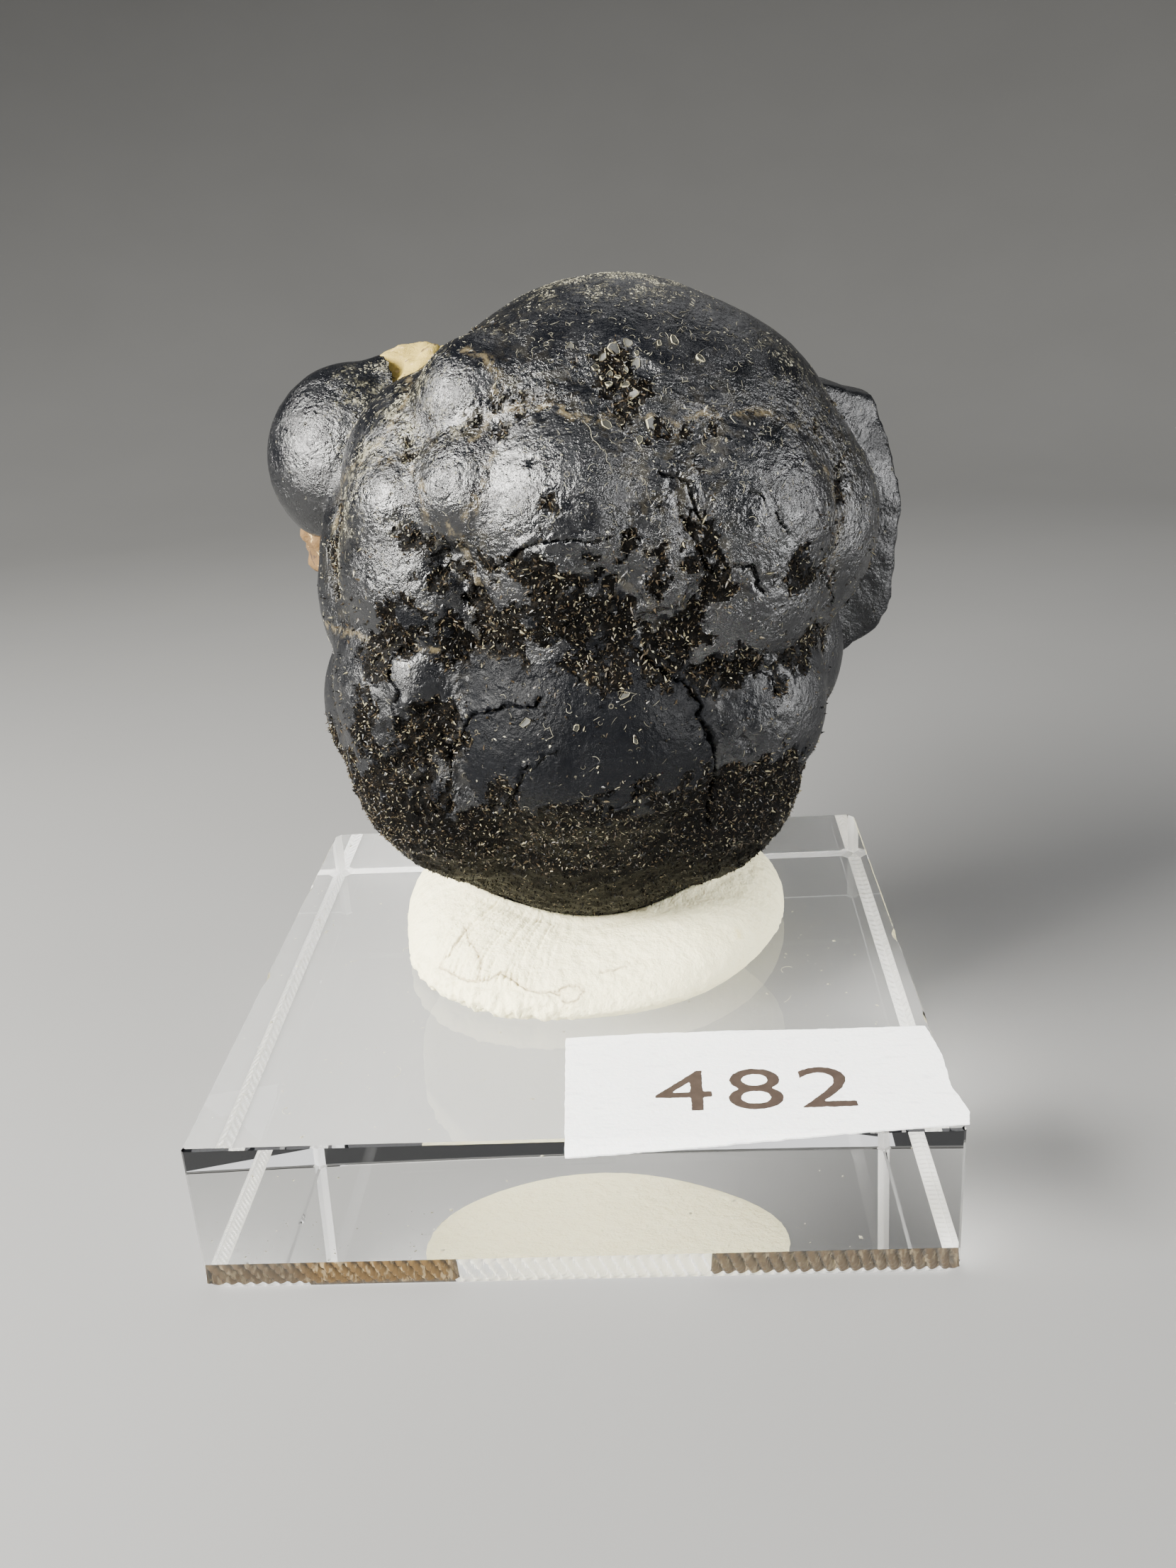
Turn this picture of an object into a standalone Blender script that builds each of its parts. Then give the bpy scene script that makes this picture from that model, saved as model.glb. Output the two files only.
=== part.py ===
"""A nodule of black cassiterite on a clear display block.

The nodule grew as a cluster of balls (wood tin), so it is built as one: two egg-shaped
masses, a shell of lobes seated on them, a small ball at the left and a broken slab at the
right. The tan host rock is let into its back. Putty holds it on a square block of clear
acrylic, and a small paper label lies on the block's top face.

Units are metres, +Z is up, +X is right and -Y is the front. The origin is the middle of
the block's underside.
"""

from math import atan2, cos, hypot, radians, sin

import bmesh
import bpy
from mathutils import Matrix, Vector, noise

MM = 0.001

# Driving dimensions
BLOCK_SIDE = 50 * MM
BLOCK_THICKNESS = 11.5 * MM
BLOCK_CHAMFER = 0.6 * MM
LABEL_THICKNESS = 0.2 * MM
GAP = 0.3 * MM

# The nodule: its two masses, each as middle and half-lengths along X, Y and Z, in mm
MASSES = {
    "upper": ((2.5, 4.0, 44.4), (19.2, 14.8, 16.3)),
    "lower": ((0.8, 4.0, 32.7), (18.7, 14.4, 19.6)),
}

# Each lobe: the mass that it sits on, its azimuth (0 at the front, 90 at the right) and its
# elevation in degrees, the radius of its curve in mm, and how far it stands proud in mm
LOBES = {
    "crown": ("upper", 18, 52, 14.5, 1.5),
    "crown_left": ("upper", -12, 47, 10.0, 1.3),
    "crown_right": ("upper", 50, 38, 11.0, 1.2),
    "crown_back": ("upper", 165, 48, 12.0, 1.0),
    "brow_left": ("upper", -34, 39, 4.3, 1.5),
    "left_rim": ("upper", -50, 24, 7.0, 1.2),
    "centre": ("upper", -4, 20, 6.6, 2.5),
    "centre_left": ("upper", -22, 13, 5.2, 1.6),
    "left_high": ("upper", -43, 9, 6.2, 2.2),
    "left_mid": ("upper", -44, -6, 7.0, 1.9),
    "between": ("upper", 16, 17, 4.2, 1.7),
    "right": ("upper", 34, 14, 7.0, 2.5),
    "far_right": ("upper", 68, 5, 8.5, 1.7),
    "right_rim": ("upper", 66, 21, 7.0, 1.3),
    "middle_left": ("upper", -13, -4, 4.8, 1.5),
    "middle": ("upper", 8, -5, 7.0, 1.2),
    "middle_right": ("upper", 36, -10, 6.8, 1.9),
    "left_low": ("lower", -44, 6, 8.0, 2.1),
    "lower": ("lower", 3, -1, 11.5, 2.4),
    "right_low": ("lower", 49, -2, 8.5, 2.1),
    "left_foot": ("lower", -36, -19, 11.0, 1.2),
    "right_foot": ("lower", 46, -27, 10.0, 1.2),
    "foot": ("lower", 5, -31, 13.0, 0.7),
    "side_right": ("lower", 92, 8, 7.5, 1.6),
    "side_left": ("lower", -95, -2, 8.5, 1.5),
    "side_left_high": ("upper", -84, -4, 7.0, 1.4),
    "back_right": ("upper", 132, 14, 8.0, 1.5),
    "back_right_low": ("lower", 138, -6, 9.0, 1.7),
    "back_low": ("lower", 178, -28, 10.0, 1.2),
    "back_left_low": ("lower", -142, -10, 8.0, 1.5),
}
MASS_INSET = 0.9 * MM

# The ball at the left, set back behind the rim, in mm
LEFT_BALL = ((-16.0, 10.8, 50.4), (6.6, 6.4, 7.2))

# The broken slab at the right. Each corner of its edge, seen from the front: X and Z, and the
# depths Y of its front and back faces, in mm
SLAB_EDGE = [
    (14.0, 55.0, 5.0, 13.0),
    (20.2, 53.3, 7.6, 12.5),
    (23.6, 52.2, 8.8, 11.8),
    (24.9, 48.6, 8.4, 12.6),
    (25.8, 44.5, 7.8, 12.2),
    (25.0, 40.5, 7.2, 13.4),
    (25.0, 36.4, 7.6, 11.6),
    (24.2, 34.6, 8.2, 10.8),
    (19.0, 31.5, 7.0, 13.0),
    (10.0, 36.0, 4.0, 15.5),
    (8.0, 46.0, 3.0, 16.5),
]
SLAB_HEART = (16, 10, 43)

# The host rock let into the back: middles and half-lengths of its blocks, in mm
ROCK_BLOCKS = [
    ((-2.0, 14.6, 40.5), (11.0, 6.6, 13.8)),
    ((-15.4, 13.8, 43.4), (6.1, 6.0, 6.0)),
    ((-9.8, 13.4, 51.6), (6.0, 5.8, 6.0)),
    ((-9.0, 15.2, 35.0), (7.6, 5.4, 8.0)),
    ((5.6, 15.4, 37.0), (5.8, 5.0, 9.0)),
]

# The putty pad: its middle and half-widths on the block, how far its lip rises at the front, the
# sides and the back, and the height of its outer edge above a tucked-in foot, in mm
PAD_MIDDLE = (0.6, 5.0)
PAD_HALF_WIDTHS = (15.6, 16.6)
PAD_FRONT_RISE = 3.0
PAD_SIDE_RISE = 5.8
PAD_BACK_RISE = 4.6
PAD_EDGE_HEIGHT = 0.9
PAD_FOOT_SHARE = 0.95
PAD_ROUNDNESS = 3.2
PAD_WAVES = [(3, 0.020), (5, 0.012)]
PAD_RINGS = 24
PAD_SIDES = 48

# The label's corners on the block's top face, in mm, as the scissors left them
LABEL_OUTLINE = [
    (-0.7, -13.3),
    (5.2, -13.0),
    (24.6, -13.2),
    (25.1, -17.0),
    (24.9, -20.4),
    (25.5, -23.4),
    (25.2, -24.6),
    (10.0, -25.9),
    (-0.1, -26.6),
    (-0.4, -20.0),
]

# Surface relief: a slow swell all over, and a rough crust in a band under the upper lobes, given
# as its middle height and its half-width, and round the foot
SWELL_HEIGHT = 0.16 * MM
SWELL_WIDTH = 4.2 * MM
CRUST_HEIGHT = 0.34 * MM
CRUST_WIDTH = 1.7 * MM
CRUST_BAND = (40.8 * MM, 2.6 * MM)
CRUST_PATCH_WIDTH = 7 * MM
FOOT_CRUST_TOP = 27.0 * MM
FOOT_CRUST_FULL = 21.0 * MM
ROCK_RELIEF_HEIGHT = 0.8 * MM
ROCK_RELIEF_WIDTH = 3.6 * MM

NODULE_VOXEL = 0.55 * MM
NODULE_TRIANGLES = 5800
ROCK_VOXEL = 0.8 * MM
ROCK_TRIANGLES = 1300

BLACK_CASSITERITE = (0.020, 0.021, 0.024, 1.0)
TAN_RHYOLITE = (0.52, 0.33, 0.16, 1.0)
OFF_WHITE_PUTTY = (0.74, 0.70, 0.62, 1.0)
CLEAR_ACRYLIC = (0.95, 0.97, 0.98, 1.0)
WHITE_PAPER = (0.86, 0.86, 0.85, 1.0)


def clear_scene():
    """Removes every object, so that the file starts from nothing."""
    for obj in list(bpy.data.objects):
        bpy.data.objects.remove(obj, do_unlink=True)


def new_collection(name):
    """A collection of its own under the scene."""
    collection = bpy.data.collections.new(name)
    bpy.context.scene.collection.children.link(collection)
    return collection


def new_material(name, colour, roughness, metallic=0.0, transmission=0.0):
    """A Principled material in the piece's own colour."""
    material = bpy.data.materials.new(name)
    material.use_nodes = True
    shader = material.node_tree.nodes["Principled BSDF"]
    shader.inputs["Base Color"].default_value = colour
    shader.inputs["Roughness"].default_value = roughness
    shader.inputs["Metallic"].default_value = metallic
    shader.inputs["Transmission Weight"].default_value = transmission
    material.diffuse_color = colour
    return material


def new_object(name, mesh, collection, material=None):
    """An object for a mesh, in its collection and with its material."""
    obj = bpy.data.objects.new(name, mesh)
    collection.objects.link(obj)
    if material:
        mesh.materials.append(material)
    return obj


def mesh_from(bm, name):
    """A mesh datablock from a bmesh, which is freed."""
    bmesh.ops.recalc_face_normals(bm, faces=bm.faces)
    mesh = bpy.data.meshes.new(name)
    bm.to_mesh(mesh)
    bm.free()
    return mesh


def in_mm(values):
    """A point or a set of half-lengths given in millimetres."""
    return Vector(values) * MM


def add_ball(bm, middle, radii, fineness=5):
    """A ball or an egg: an icosphere scaled along its three axes and put in place."""
    scale = Matrix.Diagonal((*radii, 1.0))
    bmesh.ops.create_icosphere(
        bm, subdivisions=fineness, radius=1.0, matrix=Matrix.Translation(middle) @ scale
    )


def seat_on_mass(mass, azimuth, elevation, radius, proud):
    """Middle of a lobe whose tip stands proud of its mass in the given direction."""
    middle, half = (in_mm(v) for v in MASSES[mass])
    turn, rise = radians(azimuth), radians(elevation)
    way = Vector((sin(turn) * cos(rise), -cos(turn) * cos(rise), sin(rise)))
    seat = middle + Vector(a * b for a, b in zip(way, half))
    outward = Vector(a / b for a, b in zip(way, half)).normalized()
    return seat + outward * (proud - radius) * MM


def add_slab(bm, grow):
    """The broken slab at the right: the hull of its edge at its front and its back faces."""
    heart = in_mm(SLAB_HEART)
    corners = []
    for x, z, front, back in SLAB_EDGE:
        for depth in (front, back):
            corner = in_mm((x, depth, z))
            corners.append(bm.verts.new(corner + (corner - heart).normalized() * grow))
    bmesh.ops.convex_hull(bm, input=corners)


def nodule_balls(grow):
    """A bmesh of everything that the nodule is made of, each ball larger by the given growth."""
    bm = bmesh.new()
    for middle, half in MASSES.values():
        add_ball(bm, in_mm(middle), [h * MM - MASS_INSET + grow for h in half])
    for mass, azimuth, elevation, radius, proud in LOBES.values():
        middle = seat_on_mass(mass, azimuth, elevation, radius, proud)
        add_ball(bm, middle, [radius * MM + grow] * 3)
    middle, radii = LEFT_BALL
    add_ball(bm, in_mm(middle), [r * MM + grow for r in radii])
    add_slab(bm, grow)
    return bm


def rock_blocks():
    """A bmesh of the host rock's blocks: coarse balls, whose facets are its broken faces."""
    bm = bmesh.new()
    for middle, half in ROCK_BLOCKS:
        add_ball(bm, in_mm(middle), [h * MM for h in half], fineness=2)
    return bm


def fused(bm, voxel, name):
    """One closed skin round overlapping shapes."""
    mesh = mesh_from(bm, name + "_shapes")
    obj = bpy.data.objects.new(name + "_shapes", mesh)
    bpy.context.scene.collection.objects.link(obj)
    remesh = obj.modifiers.new("Fuse", "REMESH")
    remesh.mode = "VOXEL"
    remesh.voxel_size = voxel
    skin = bpy.data.meshes.new_from_object(obj.evaluated_get(bpy.context.evaluated_depsgraph_get()))
    bpy.data.objects.remove(obj, do_unlink=True)
    bpy.data.meshes.remove(mesh)
    skin.name = name
    return skin


def crust_amount(point):
    """How rough the nodule is here: about 1 in the band and near the foot, else 0."""
    level, spread = CRUST_BAND
    band = max(0.0, 1.0 - abs(point.z - level) / spread)
    foot = (FOOT_CRUST_TOP - point.z) / (FOOT_CRUST_TOP - FOOT_CRUST_FULL)
    patch = 0.9 + noise.noise(point / CRUST_PATCH_WIDTH) / 2
    return max(band * patch, 0.8 * min(1.0, max(0.0, foot)))


def nodule_relief(point):
    """Height of the nodule's fine relief at a point: a slow swell, and crust where it is rough."""
    swell = noise.noise(point / SWELL_WIDTH) * SWELL_HEIGHT
    crust = noise.fractal(point / CRUST_WIDTH, 1.0, 2.1, 2) * CRUST_HEIGHT
    return swell + crust * crust_amount(point)


def rock_relief(point):
    """Height of the rock's broken surface at a point."""
    return noise.fractal(point / ROCK_RELIEF_WIDTH, 0.8, 2.0, 3) * ROCK_RELIEF_HEIGHT


def raise_relief(mesh, relief):
    """Moves every point of a mesh along its normal by the relief at that point."""
    normals = [v.normal.copy() for v in mesh.vertices]
    for vert, normal in zip(mesh.vertices, normals):
        vert.co += normal * relief(vert.co)
    mesh.update()


def thinned(mesh, triangles, name):
    """The same skin with about so many triangles."""
    obj = bpy.data.objects.new(name + "_fine", mesh)
    bpy.context.scene.collection.objects.link(obj)
    decimate = obj.modifiers.new("Thin", "DECIMATE")
    decimate.ratio = triangles / (2 * len(mesh.polygons))
    decimate.use_collapse_triangulate = True
    thin = bpy.data.meshes.new_from_object(obj.evaluated_get(bpy.context.evaluated_depsgraph_get()))
    bpy.data.objects.remove(obj, do_unlink=True)
    bpy.data.meshes.remove(mesh)
    thin.name = name
    return thin


def nodule_skin(name, grow):
    """The whole nodule before its back is fitted, larger all round by the given growth."""
    mesh = fused(nodule_balls(grow), NODULE_VOXEL, name)
    raise_relief(mesh, nodule_relief)
    return thinned(mesh, NODULE_TRIANGLES, name)


def rock_skin(name):
    """The host rock."""
    mesh = fused(rock_blocks(), ROCK_VOXEL, name)
    raise_relief(mesh, rock_relief)
    return thinned(mesh, ROCK_TRIANGLES, name)


def swollen(mesh, by, name):
    """A copy of a skin with every point pushed outwards."""
    copy = mesh.copy()
    copy.name = name
    raise_relief(copy, lambda point: by)
    return copy


def cut(obj, cutter, label):
    """Takes the cutter's shape out of an object."""
    boolean = obj.modifiers.new(label, "BOOLEAN")
    boolean.operation = "DIFFERENCE"
    boolean.object = cutter


def as_cutter(obj):
    """Keeps a helper out of renders and draws it as wire."""
    obj.hide_render = True
    obj.display_type = "WIRE"
    return obj


def make_rock(parts):
    """The piece of host rock in the nodule's back."""
    material = new_material("tan_rhyolite", TAN_RHYOLITE, 0.85)
    return new_object("rhyolite_matrix", rock_skin("rhyolite_matrix"), parts, material)


def make_nodule(parts, cutters, rock):
    """The nodule, with a bed for the rock in its back."""
    material = new_material("black_cassiterite", BLACK_CASSITERITE, 0.32, metallic=0.1)
    nodule = new_object("cassiterite_nodule", nodule_skin("cassiterite_nodule", 0.0), parts, material)
    bed = as_cutter(new_object("rock_bed", swollen(rock.data, GAP, "rock_bed"), cutters))
    cut(nodule, bed, "Bed for the rock")
    nodule.data.shade_smooth()
    return nodule


def pad_rise(turn):
    """Height of the putty's lip round its edge: low in front, high at the sides."""
    end = PAD_FRONT_RISE if cos(turn) > 0 else PAD_BACK_RISE
    return end + (PAD_SIDE_RISE - end) * sin(turn) ** 2


def pad_point(on_ball):
    """Where a point of a unit ball goes on the putty: its lower half is pressed flat on the block."""
    out = min(1.0, hypot(on_ball.x, on_ball.y))
    turn = atan2(on_ball.x, -on_ball.y)
    pressed = on_ball.z < -0.01
    reach = PAD_FOOT_SHARE if pressed else 1.0
    reach *= 1 + sum(size * sin(count * turn + count) for count, size in PAD_WAVES)
    height = 0.0 if pressed else PAD_EDGE_HEIGHT + pad_rise(turn) * (1 - out**PAD_ROUNDNESS) ** 0.5
    x, y = (m + h * c * reach for m, h, c in zip(PAD_MIDDLE, PAD_HALF_WIDTHS, on_ball))
    return in_mm((x, y, height)) + Vector((0, 0, BLOCK_THICKNESS + GAP))


def make_putty(parts, cutters):
    """A pressed pad of putty, dished by the nodule."""
    bm = bmesh.new()
    bmesh.ops.create_uvsphere(bm, u_segments=PAD_SIDES, v_segments=PAD_RINGS, radius=1.0)
    for vert in bm.verts:
        vert.co = pad_point(vert.co)
    material = new_material("off_white_putty", OFF_WHITE_PUTTY, 0.55)
    putty = new_object("mounting_putty", mesh_from(bm, "mounting_putty"), parts, material)
    dish = as_cutter(new_object("putty_dish", nodule_skin("putty_dish", GAP), cutters))
    cut(putty, dish, "Dish under the nodule")
    putty.data.shade_smooth()
    return putty


def make_block(parts):
    """The clear block: a square of thick sheet with its edges machined off at an angle."""
    bm = bmesh.new()
    size = Matrix.Diagonal((BLOCK_SIDE, BLOCK_SIDE, BLOCK_THICKNESS, 1.0))
    bmesh.ops.create_cube(bm, size=1.0, matrix=Matrix.Translation((0, 0, BLOCK_THICKNESS / 2)) @ size)
    material = new_material("clear_acrylic", CLEAR_ACRYLIC, 0.03, transmission=1.0)
    block = new_object("acrylic_base", mesh_from(bm, "acrylic_base"), parts, material)
    bevel = block.modifiers.new("Machined edges", "BEVEL")
    bevel.width = BLOCK_CHAMFER
    bevel.segments = 1
    bevel.limit_method = "ANGLE"
    return block


def make_label(parts):
    """The paper label: a flat outline as thick as card, just clear of the block."""
    curve = bpy.data.curves.new("paper_label_outline", "CURVE")
    curve.dimensions = "2D"
    curve.fill_mode = "BOTH"
    curve.extrude = LABEL_THICKNESS / 2
    spline = curve.splines.new("POLY")
    spline.points.add(len(LABEL_OUTLINE) - 1)
    for point, (x, y) in zip(spline.points, LABEL_OUTLINE):
        point.co = (x * MM, y * MM, 0.0, 1.0)
    spline.use_cyclic_u = True
    curve.materials.append(new_material("white_paper", WHITE_PAPER, 0.8))
    label = bpy.data.objects.new("paper_label", curve)
    label.location.z = BLOCK_THICKNESS + GAP + LABEL_THICKNESS / 2
    parts.objects.link(label)
    return label


def main():
    clear_scene()
    parts = new_collection("cassiterite_on_block")
    cutters = new_collection("cutters")
    rock = make_rock(parts)
    make_nodule(parts, cutters, rock)
    make_putty(parts, cutters)
    make_block(parts)
    make_label(parts)


main()
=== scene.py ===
# %% [markdown]
# # A nodule of black cassiterite on a clear block
#
# Cassiterite is tin ore. This piece grew as "wood tin": many rounded lobes, crowded together like
# a bunch of grapes, black and satin-smooth where they are clean and rough where a crust of tiny
# crystals covers them. A lump of its tan host rock is still set in the back. A pad of white putty
# holds it on a square block of clear acrylic, and a paper label lies on the block.
#
# A measured model of the five pieces is loaded first. It settles every size and place, and each
# cell below gives one piece its true surface.

# %% Load the measured model
from math import cos, pi, radians, sin

import bmesh
import bpy
import numpy as np
from mathutils import Euler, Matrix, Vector, noise
from mathutils.bvhtree import BVHTree
from mathutils.geometry import delaunay_2d_cdt


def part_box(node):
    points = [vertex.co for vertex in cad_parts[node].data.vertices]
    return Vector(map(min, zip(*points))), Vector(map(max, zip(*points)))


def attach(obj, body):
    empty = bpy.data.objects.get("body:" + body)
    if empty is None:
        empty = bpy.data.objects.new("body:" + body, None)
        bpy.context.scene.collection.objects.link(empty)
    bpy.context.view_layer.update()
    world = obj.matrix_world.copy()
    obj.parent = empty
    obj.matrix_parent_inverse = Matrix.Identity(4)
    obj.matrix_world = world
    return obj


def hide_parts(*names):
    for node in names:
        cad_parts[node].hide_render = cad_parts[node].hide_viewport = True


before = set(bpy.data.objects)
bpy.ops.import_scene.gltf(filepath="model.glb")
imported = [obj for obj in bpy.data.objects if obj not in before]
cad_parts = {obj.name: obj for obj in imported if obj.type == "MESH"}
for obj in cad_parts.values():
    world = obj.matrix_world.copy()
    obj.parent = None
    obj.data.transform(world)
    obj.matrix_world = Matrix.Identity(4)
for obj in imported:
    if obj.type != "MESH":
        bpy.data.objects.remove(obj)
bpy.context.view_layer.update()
MM = 0.001
BODY = "root"

print("pieces of the measured model:", ", ".join(sorted(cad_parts)))

# %% [markdown]
# ## Camera
#
# The photograph was taken from a little above, close to the block, with a slightly wide lens. The
# camera's place, its three turns and its lens were worked out from the corners of the block. The
# roll of about three degrees keeps the far edge as level as it is in the picture.

# %% Camera at the photograph's angle
CAMERA_PLACE = Vector((6.91, -98.52, 65.05)) * MM
CAMERA_TURN = (68.216, 3.322, 1.949)
CAMERA_LENS = 32.06

camera_data = bpy.data.cameras.new("photo_camera")
camera_data.lens = CAMERA_LENS
camera_data.sensor_width = 36
camera_data.clip_start = 1 * MM
camera = bpy.data.objects.new("photo_camera", camera_data)
camera.location = CAMERA_PLACE
camera.rotation_euler = Euler([radians(turn) for turn in CAMERA_TURN], "XYZ")
bpy.context.scene.collection.objects.link(camera)
bpy.context.scene.camera = camera

print("the camera looks down by", round(90 - CAMERA_TURN[0], 1), "degrees")

# %% [markdown]
# ## Light
#
# Black stone shows its shape only by what it mirrors. In the photograph every lobe has a soft
# highlight on its left and some have a second one on the right, so the light came from a large
# soft panel at the left, which reached round to the front, and a smaller one at the right. A faint
# glow under the top of the crown came from above. They are set up again here, with a very weak
# panel behind for the back. The room itself stays dim: every bit of light from all round would
# turn the black of the stone grey.

# %% Soft panels
ROOM_COLOUR = (0.30, 0.31, 0.33, 1.0)
ROOM_STRENGTH = 0.12
AIM = Vector((0, 0, 32)) * MM


def soft_panel(name, place, size, power, colour=(1.0, 1.0, 1.0)):
    """A rectangular panel light that faces the nodule. Place and size are in mm."""
    light = bpy.data.lights.new(name, "AREA")
    light.shape = "RECTANGLE"
    light.size, light.size_y = (side * MM for side in size)
    light.energy = power
    light.color = colour
    panel = bpy.data.objects.new(name, light)
    panel.location = Vector(place) * MM
    panel.rotation_euler = (AIM - panel.location).to_track_quat("-Z", "Y").to_euler()
    bpy.context.scene.collection.objects.link(panel)
    return panel


soft_panel("panel_left", (-200, -118, 160), (160, 130), 5.7, colour=(1.0, 0.98, 0.93))
soft_panel("panel_right", (240, -75, 75), (130, 140), 1.4)
soft_panel("panel_above", (0, -170, 290), (300, 100), 0.38)
soft_panel("panel_behind", (60, 240, 260), (200, 150), 0.12)

room = bpy.data.worlds.new("room")
room.use_nodes = True
room.node_tree.nodes["Background"].inputs["Color"].default_value = ROOM_COLOUR
room.node_tree.nodes["Background"].inputs["Strength"].default_value = ROOM_STRENGTH
bpy.context.scene.world = room

# %% [markdown]
# ## Finishes
#
# A finish here is a Principled shader with two things fed into it: a colour, and the height of a
# fine relief that tilts the light (bump). Both come from noise textures in the piece's own space,
# so that they need no unwrapping and have a true scale: a noise of scale 1000 has lumps about a
# millimetre wide. The helpers below keep each finish down to a few lines that say what it is. They
# come in three lots, each built on the one before: textures, sums and mixtures of them, and what
# the finish does with the result.


# %% Textures
class Textures:
    """A Principled material, with short words for the textures that feed it."""

    def __init__(self, name, roughness=0.5, **sockets):
        self.material = bpy.data.materials.new(name)
        self.material.use_nodes = True
        self.nodes = self.material.node_tree.nodes
        self.links = self.material.node_tree.links
        self.shader = self.nodes["Principled BSDF"]
        self.shader.inputs["Roughness"].default_value = roughness
        for socket, value in sockets.items():
            self.shader.inputs[socket.replace("_", " ")].default_value = value
        self.place = self.nodes.new("ShaderNodeTexCoord").outputs["Object"]

    def noise(self, width, detail=3.0, roughness=0.55, stretch=None, distortion=0.0):
        """Noise whose lumps are about so many millimetres wide."""
        node = self.nodes.new("ShaderNodeTexNoise")
        node.inputs["Scale"].default_value = 1 / (width * MM)
        node.inputs["Detail"].default_value = detail
        node.inputs["Roughness"].default_value = roughness
        node.inputs["Distortion"].default_value = distortion
        self.links.new(self.stretched(stretch) if stretch else self.place, node.inputs["Vector"])
        return node.outputs["Fac"]

    def cells(self, width, feature="F1"):
        """Voronoi cells about so many millimetres wide: distance from the middle of each."""
        node = self.nodes.new("ShaderNodeTexVoronoi")
        node.feature = feature
        node.inputs["Scale"].default_value = 1 / (width * MM)
        self.links.new(self.place, node.inputs["Vector"])
        return node.outputs["Distance"]

    def stretched(self, stretch):
        """The piece's own space, scaled differently along each axis."""
        node = self.nodes.new("ShaderNodeMapping")
        node.inputs["Scale"].default_value = stretch
        self.links.new(self.place, node.inputs["Vector"])
        return node.outputs["Vector"]

    def painted(self, name):
        """A value painted on the mesh's points."""
        node = self.nodes.new("ShaderNodeAttribute")
        node.attribute_name = name
        return node.outputs["Fac"]


print("textures:", ", ".join(word for word in vars(Textures) if not word.startswith("_")))


# %% Sums and mixtures
class Mixtures(Textures):
    """The textures, with short words for what is worked out from them."""

    def ramp(self, value, low, high, bottom=0.0, top=1.0):
        """The value, made to run from bottom to top as it passes from low to high."""
        node = self.nodes.new("ShaderNodeMapRange")
        node.interpolation_type = "SMOOTHSTEP"
        for socket, number in zip(node.inputs[1:5], (low, high, bottom, top)):
            socket.default_value = number
        self.links.new(value, node.inputs["Value"])
        return node.outputs["Result"]

    def maths(self, operation, a, b):
        """Arithmetic on two values, either of which may be a plain number."""
        node = self.nodes.new("ShaderNodeMath")
        node.operation = operation
        for socket, value in zip(node.inputs, (a, b)):
            if isinstance(value, (int, float)):
                socket.default_value = value
            else:
                self.links.new(value, socket)
        return node.outputs["Value"]

    def mixed(self, share, a, b):
        """Colour a, turning to colour b as the share goes from 0 to 1."""
        node = self.nodes.new("ShaderNodeMix")
        node.data_type = "RGBA"
        sockets = [s for s in node.inputs if s.enabled]
        for socket, value in zip(sockets, (share, a, b)):
            if isinstance(value, (int, float, tuple)):
                socket.default_value = value
            else:
                self.links.new(value, socket)
        return next(s for s in node.outputs if s.enabled)


print("sums and mixtures:", ", ".join(word for word in vars(Mixtures) if not word.startswith("_")))


# %% What a finish is fed with
class Finish(Mixtures):
    """The whole finish, which takes a colour, a roughness and reliefs."""

    def colour(self, value):
        """Feeds the colour of the surface."""
        self.links.new(value, self.shader.inputs["Base Color"])

    def roughness(self, value):
        """Feeds how rough it is, from 0 for a mirror to 1 for chalk."""
        self.links.new(value, self.shader.inputs["Roughness"])

    def bump(self, height, depth, strength=1.0):
        """Tilts the light by a relief whose full height is the given depth in millimetres."""
        node = self.nodes.new("ShaderNodeBump")
        node.inputs["Strength"].default_value = strength
        node.inputs["Distance"].default_value = depth * MM
        self.links.new(height, node.inputs["Height"])
        earlier = self.shader.inputs["Normal"].links
        if earlier:
            self.links.new(earlier[0].from_socket, node.inputs["Normal"])
        self.links.new(node.outputs["Normal"], self.shader.inputs["Normal"])


print("a finish is fed with:", ", ".join(word for word in vars(Finish) if not word.startswith("_")))


# %% A piece, a mesh and its points
def new_piece(name, mesh, finish, smooth=True):
    """An object for a mesh, in its finish, riding on the body."""
    piece = bpy.data.objects.new(name, mesh)
    bpy.context.scene.collection.objects.link(piece)
    mesh.materials.clear()
    mesh.materials.append(finish.material)
    if smooth:
        mesh.shade_smooth()
    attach(piece, BODY)
    return piece


def mesh_of(name, points, faces):
    """A mesh from points in mm and faces as rows of point numbers."""
    mesh = bpy.data.meshes.new(name)
    mesh.from_pydata((np.asarray(points, float) * MM).tolist(), [], np.asarray(faces).tolist())
    mesh.update()
    return mesh


def points_of(mesh):
    """A mesh's points in mm, as rows."""
    places = np.empty(len(mesh.vertices) * 3)
    mesh.vertices.foreach_get("co", places)
    return places.reshape(-1, 3) / MM


def set_points(mesh, points):
    """Moves a mesh's points to the given rows, in mm."""
    mesh.vertices.foreach_set("co", (points * MM).ravel())
    mesh.update()


def normals_of(mesh):
    """The way out at each of a mesh's points, as rows."""
    ways = np.empty(len(mesh.vertices) * 3)
    mesh.vertices.foreach_get("normal", ways)
    return ways.reshape(-1, 3)


print("every piece rides on", BODY)


# %% Paint, even skins and noise
def paint(mesh, name, values):
    """Stores a value on each point, for a finish to read."""
    layer = mesh.attributes.new(name, "FLOAT", "POINT")
    layer.data.foreach_set("value", np.asarray(values, np.float32))


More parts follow.
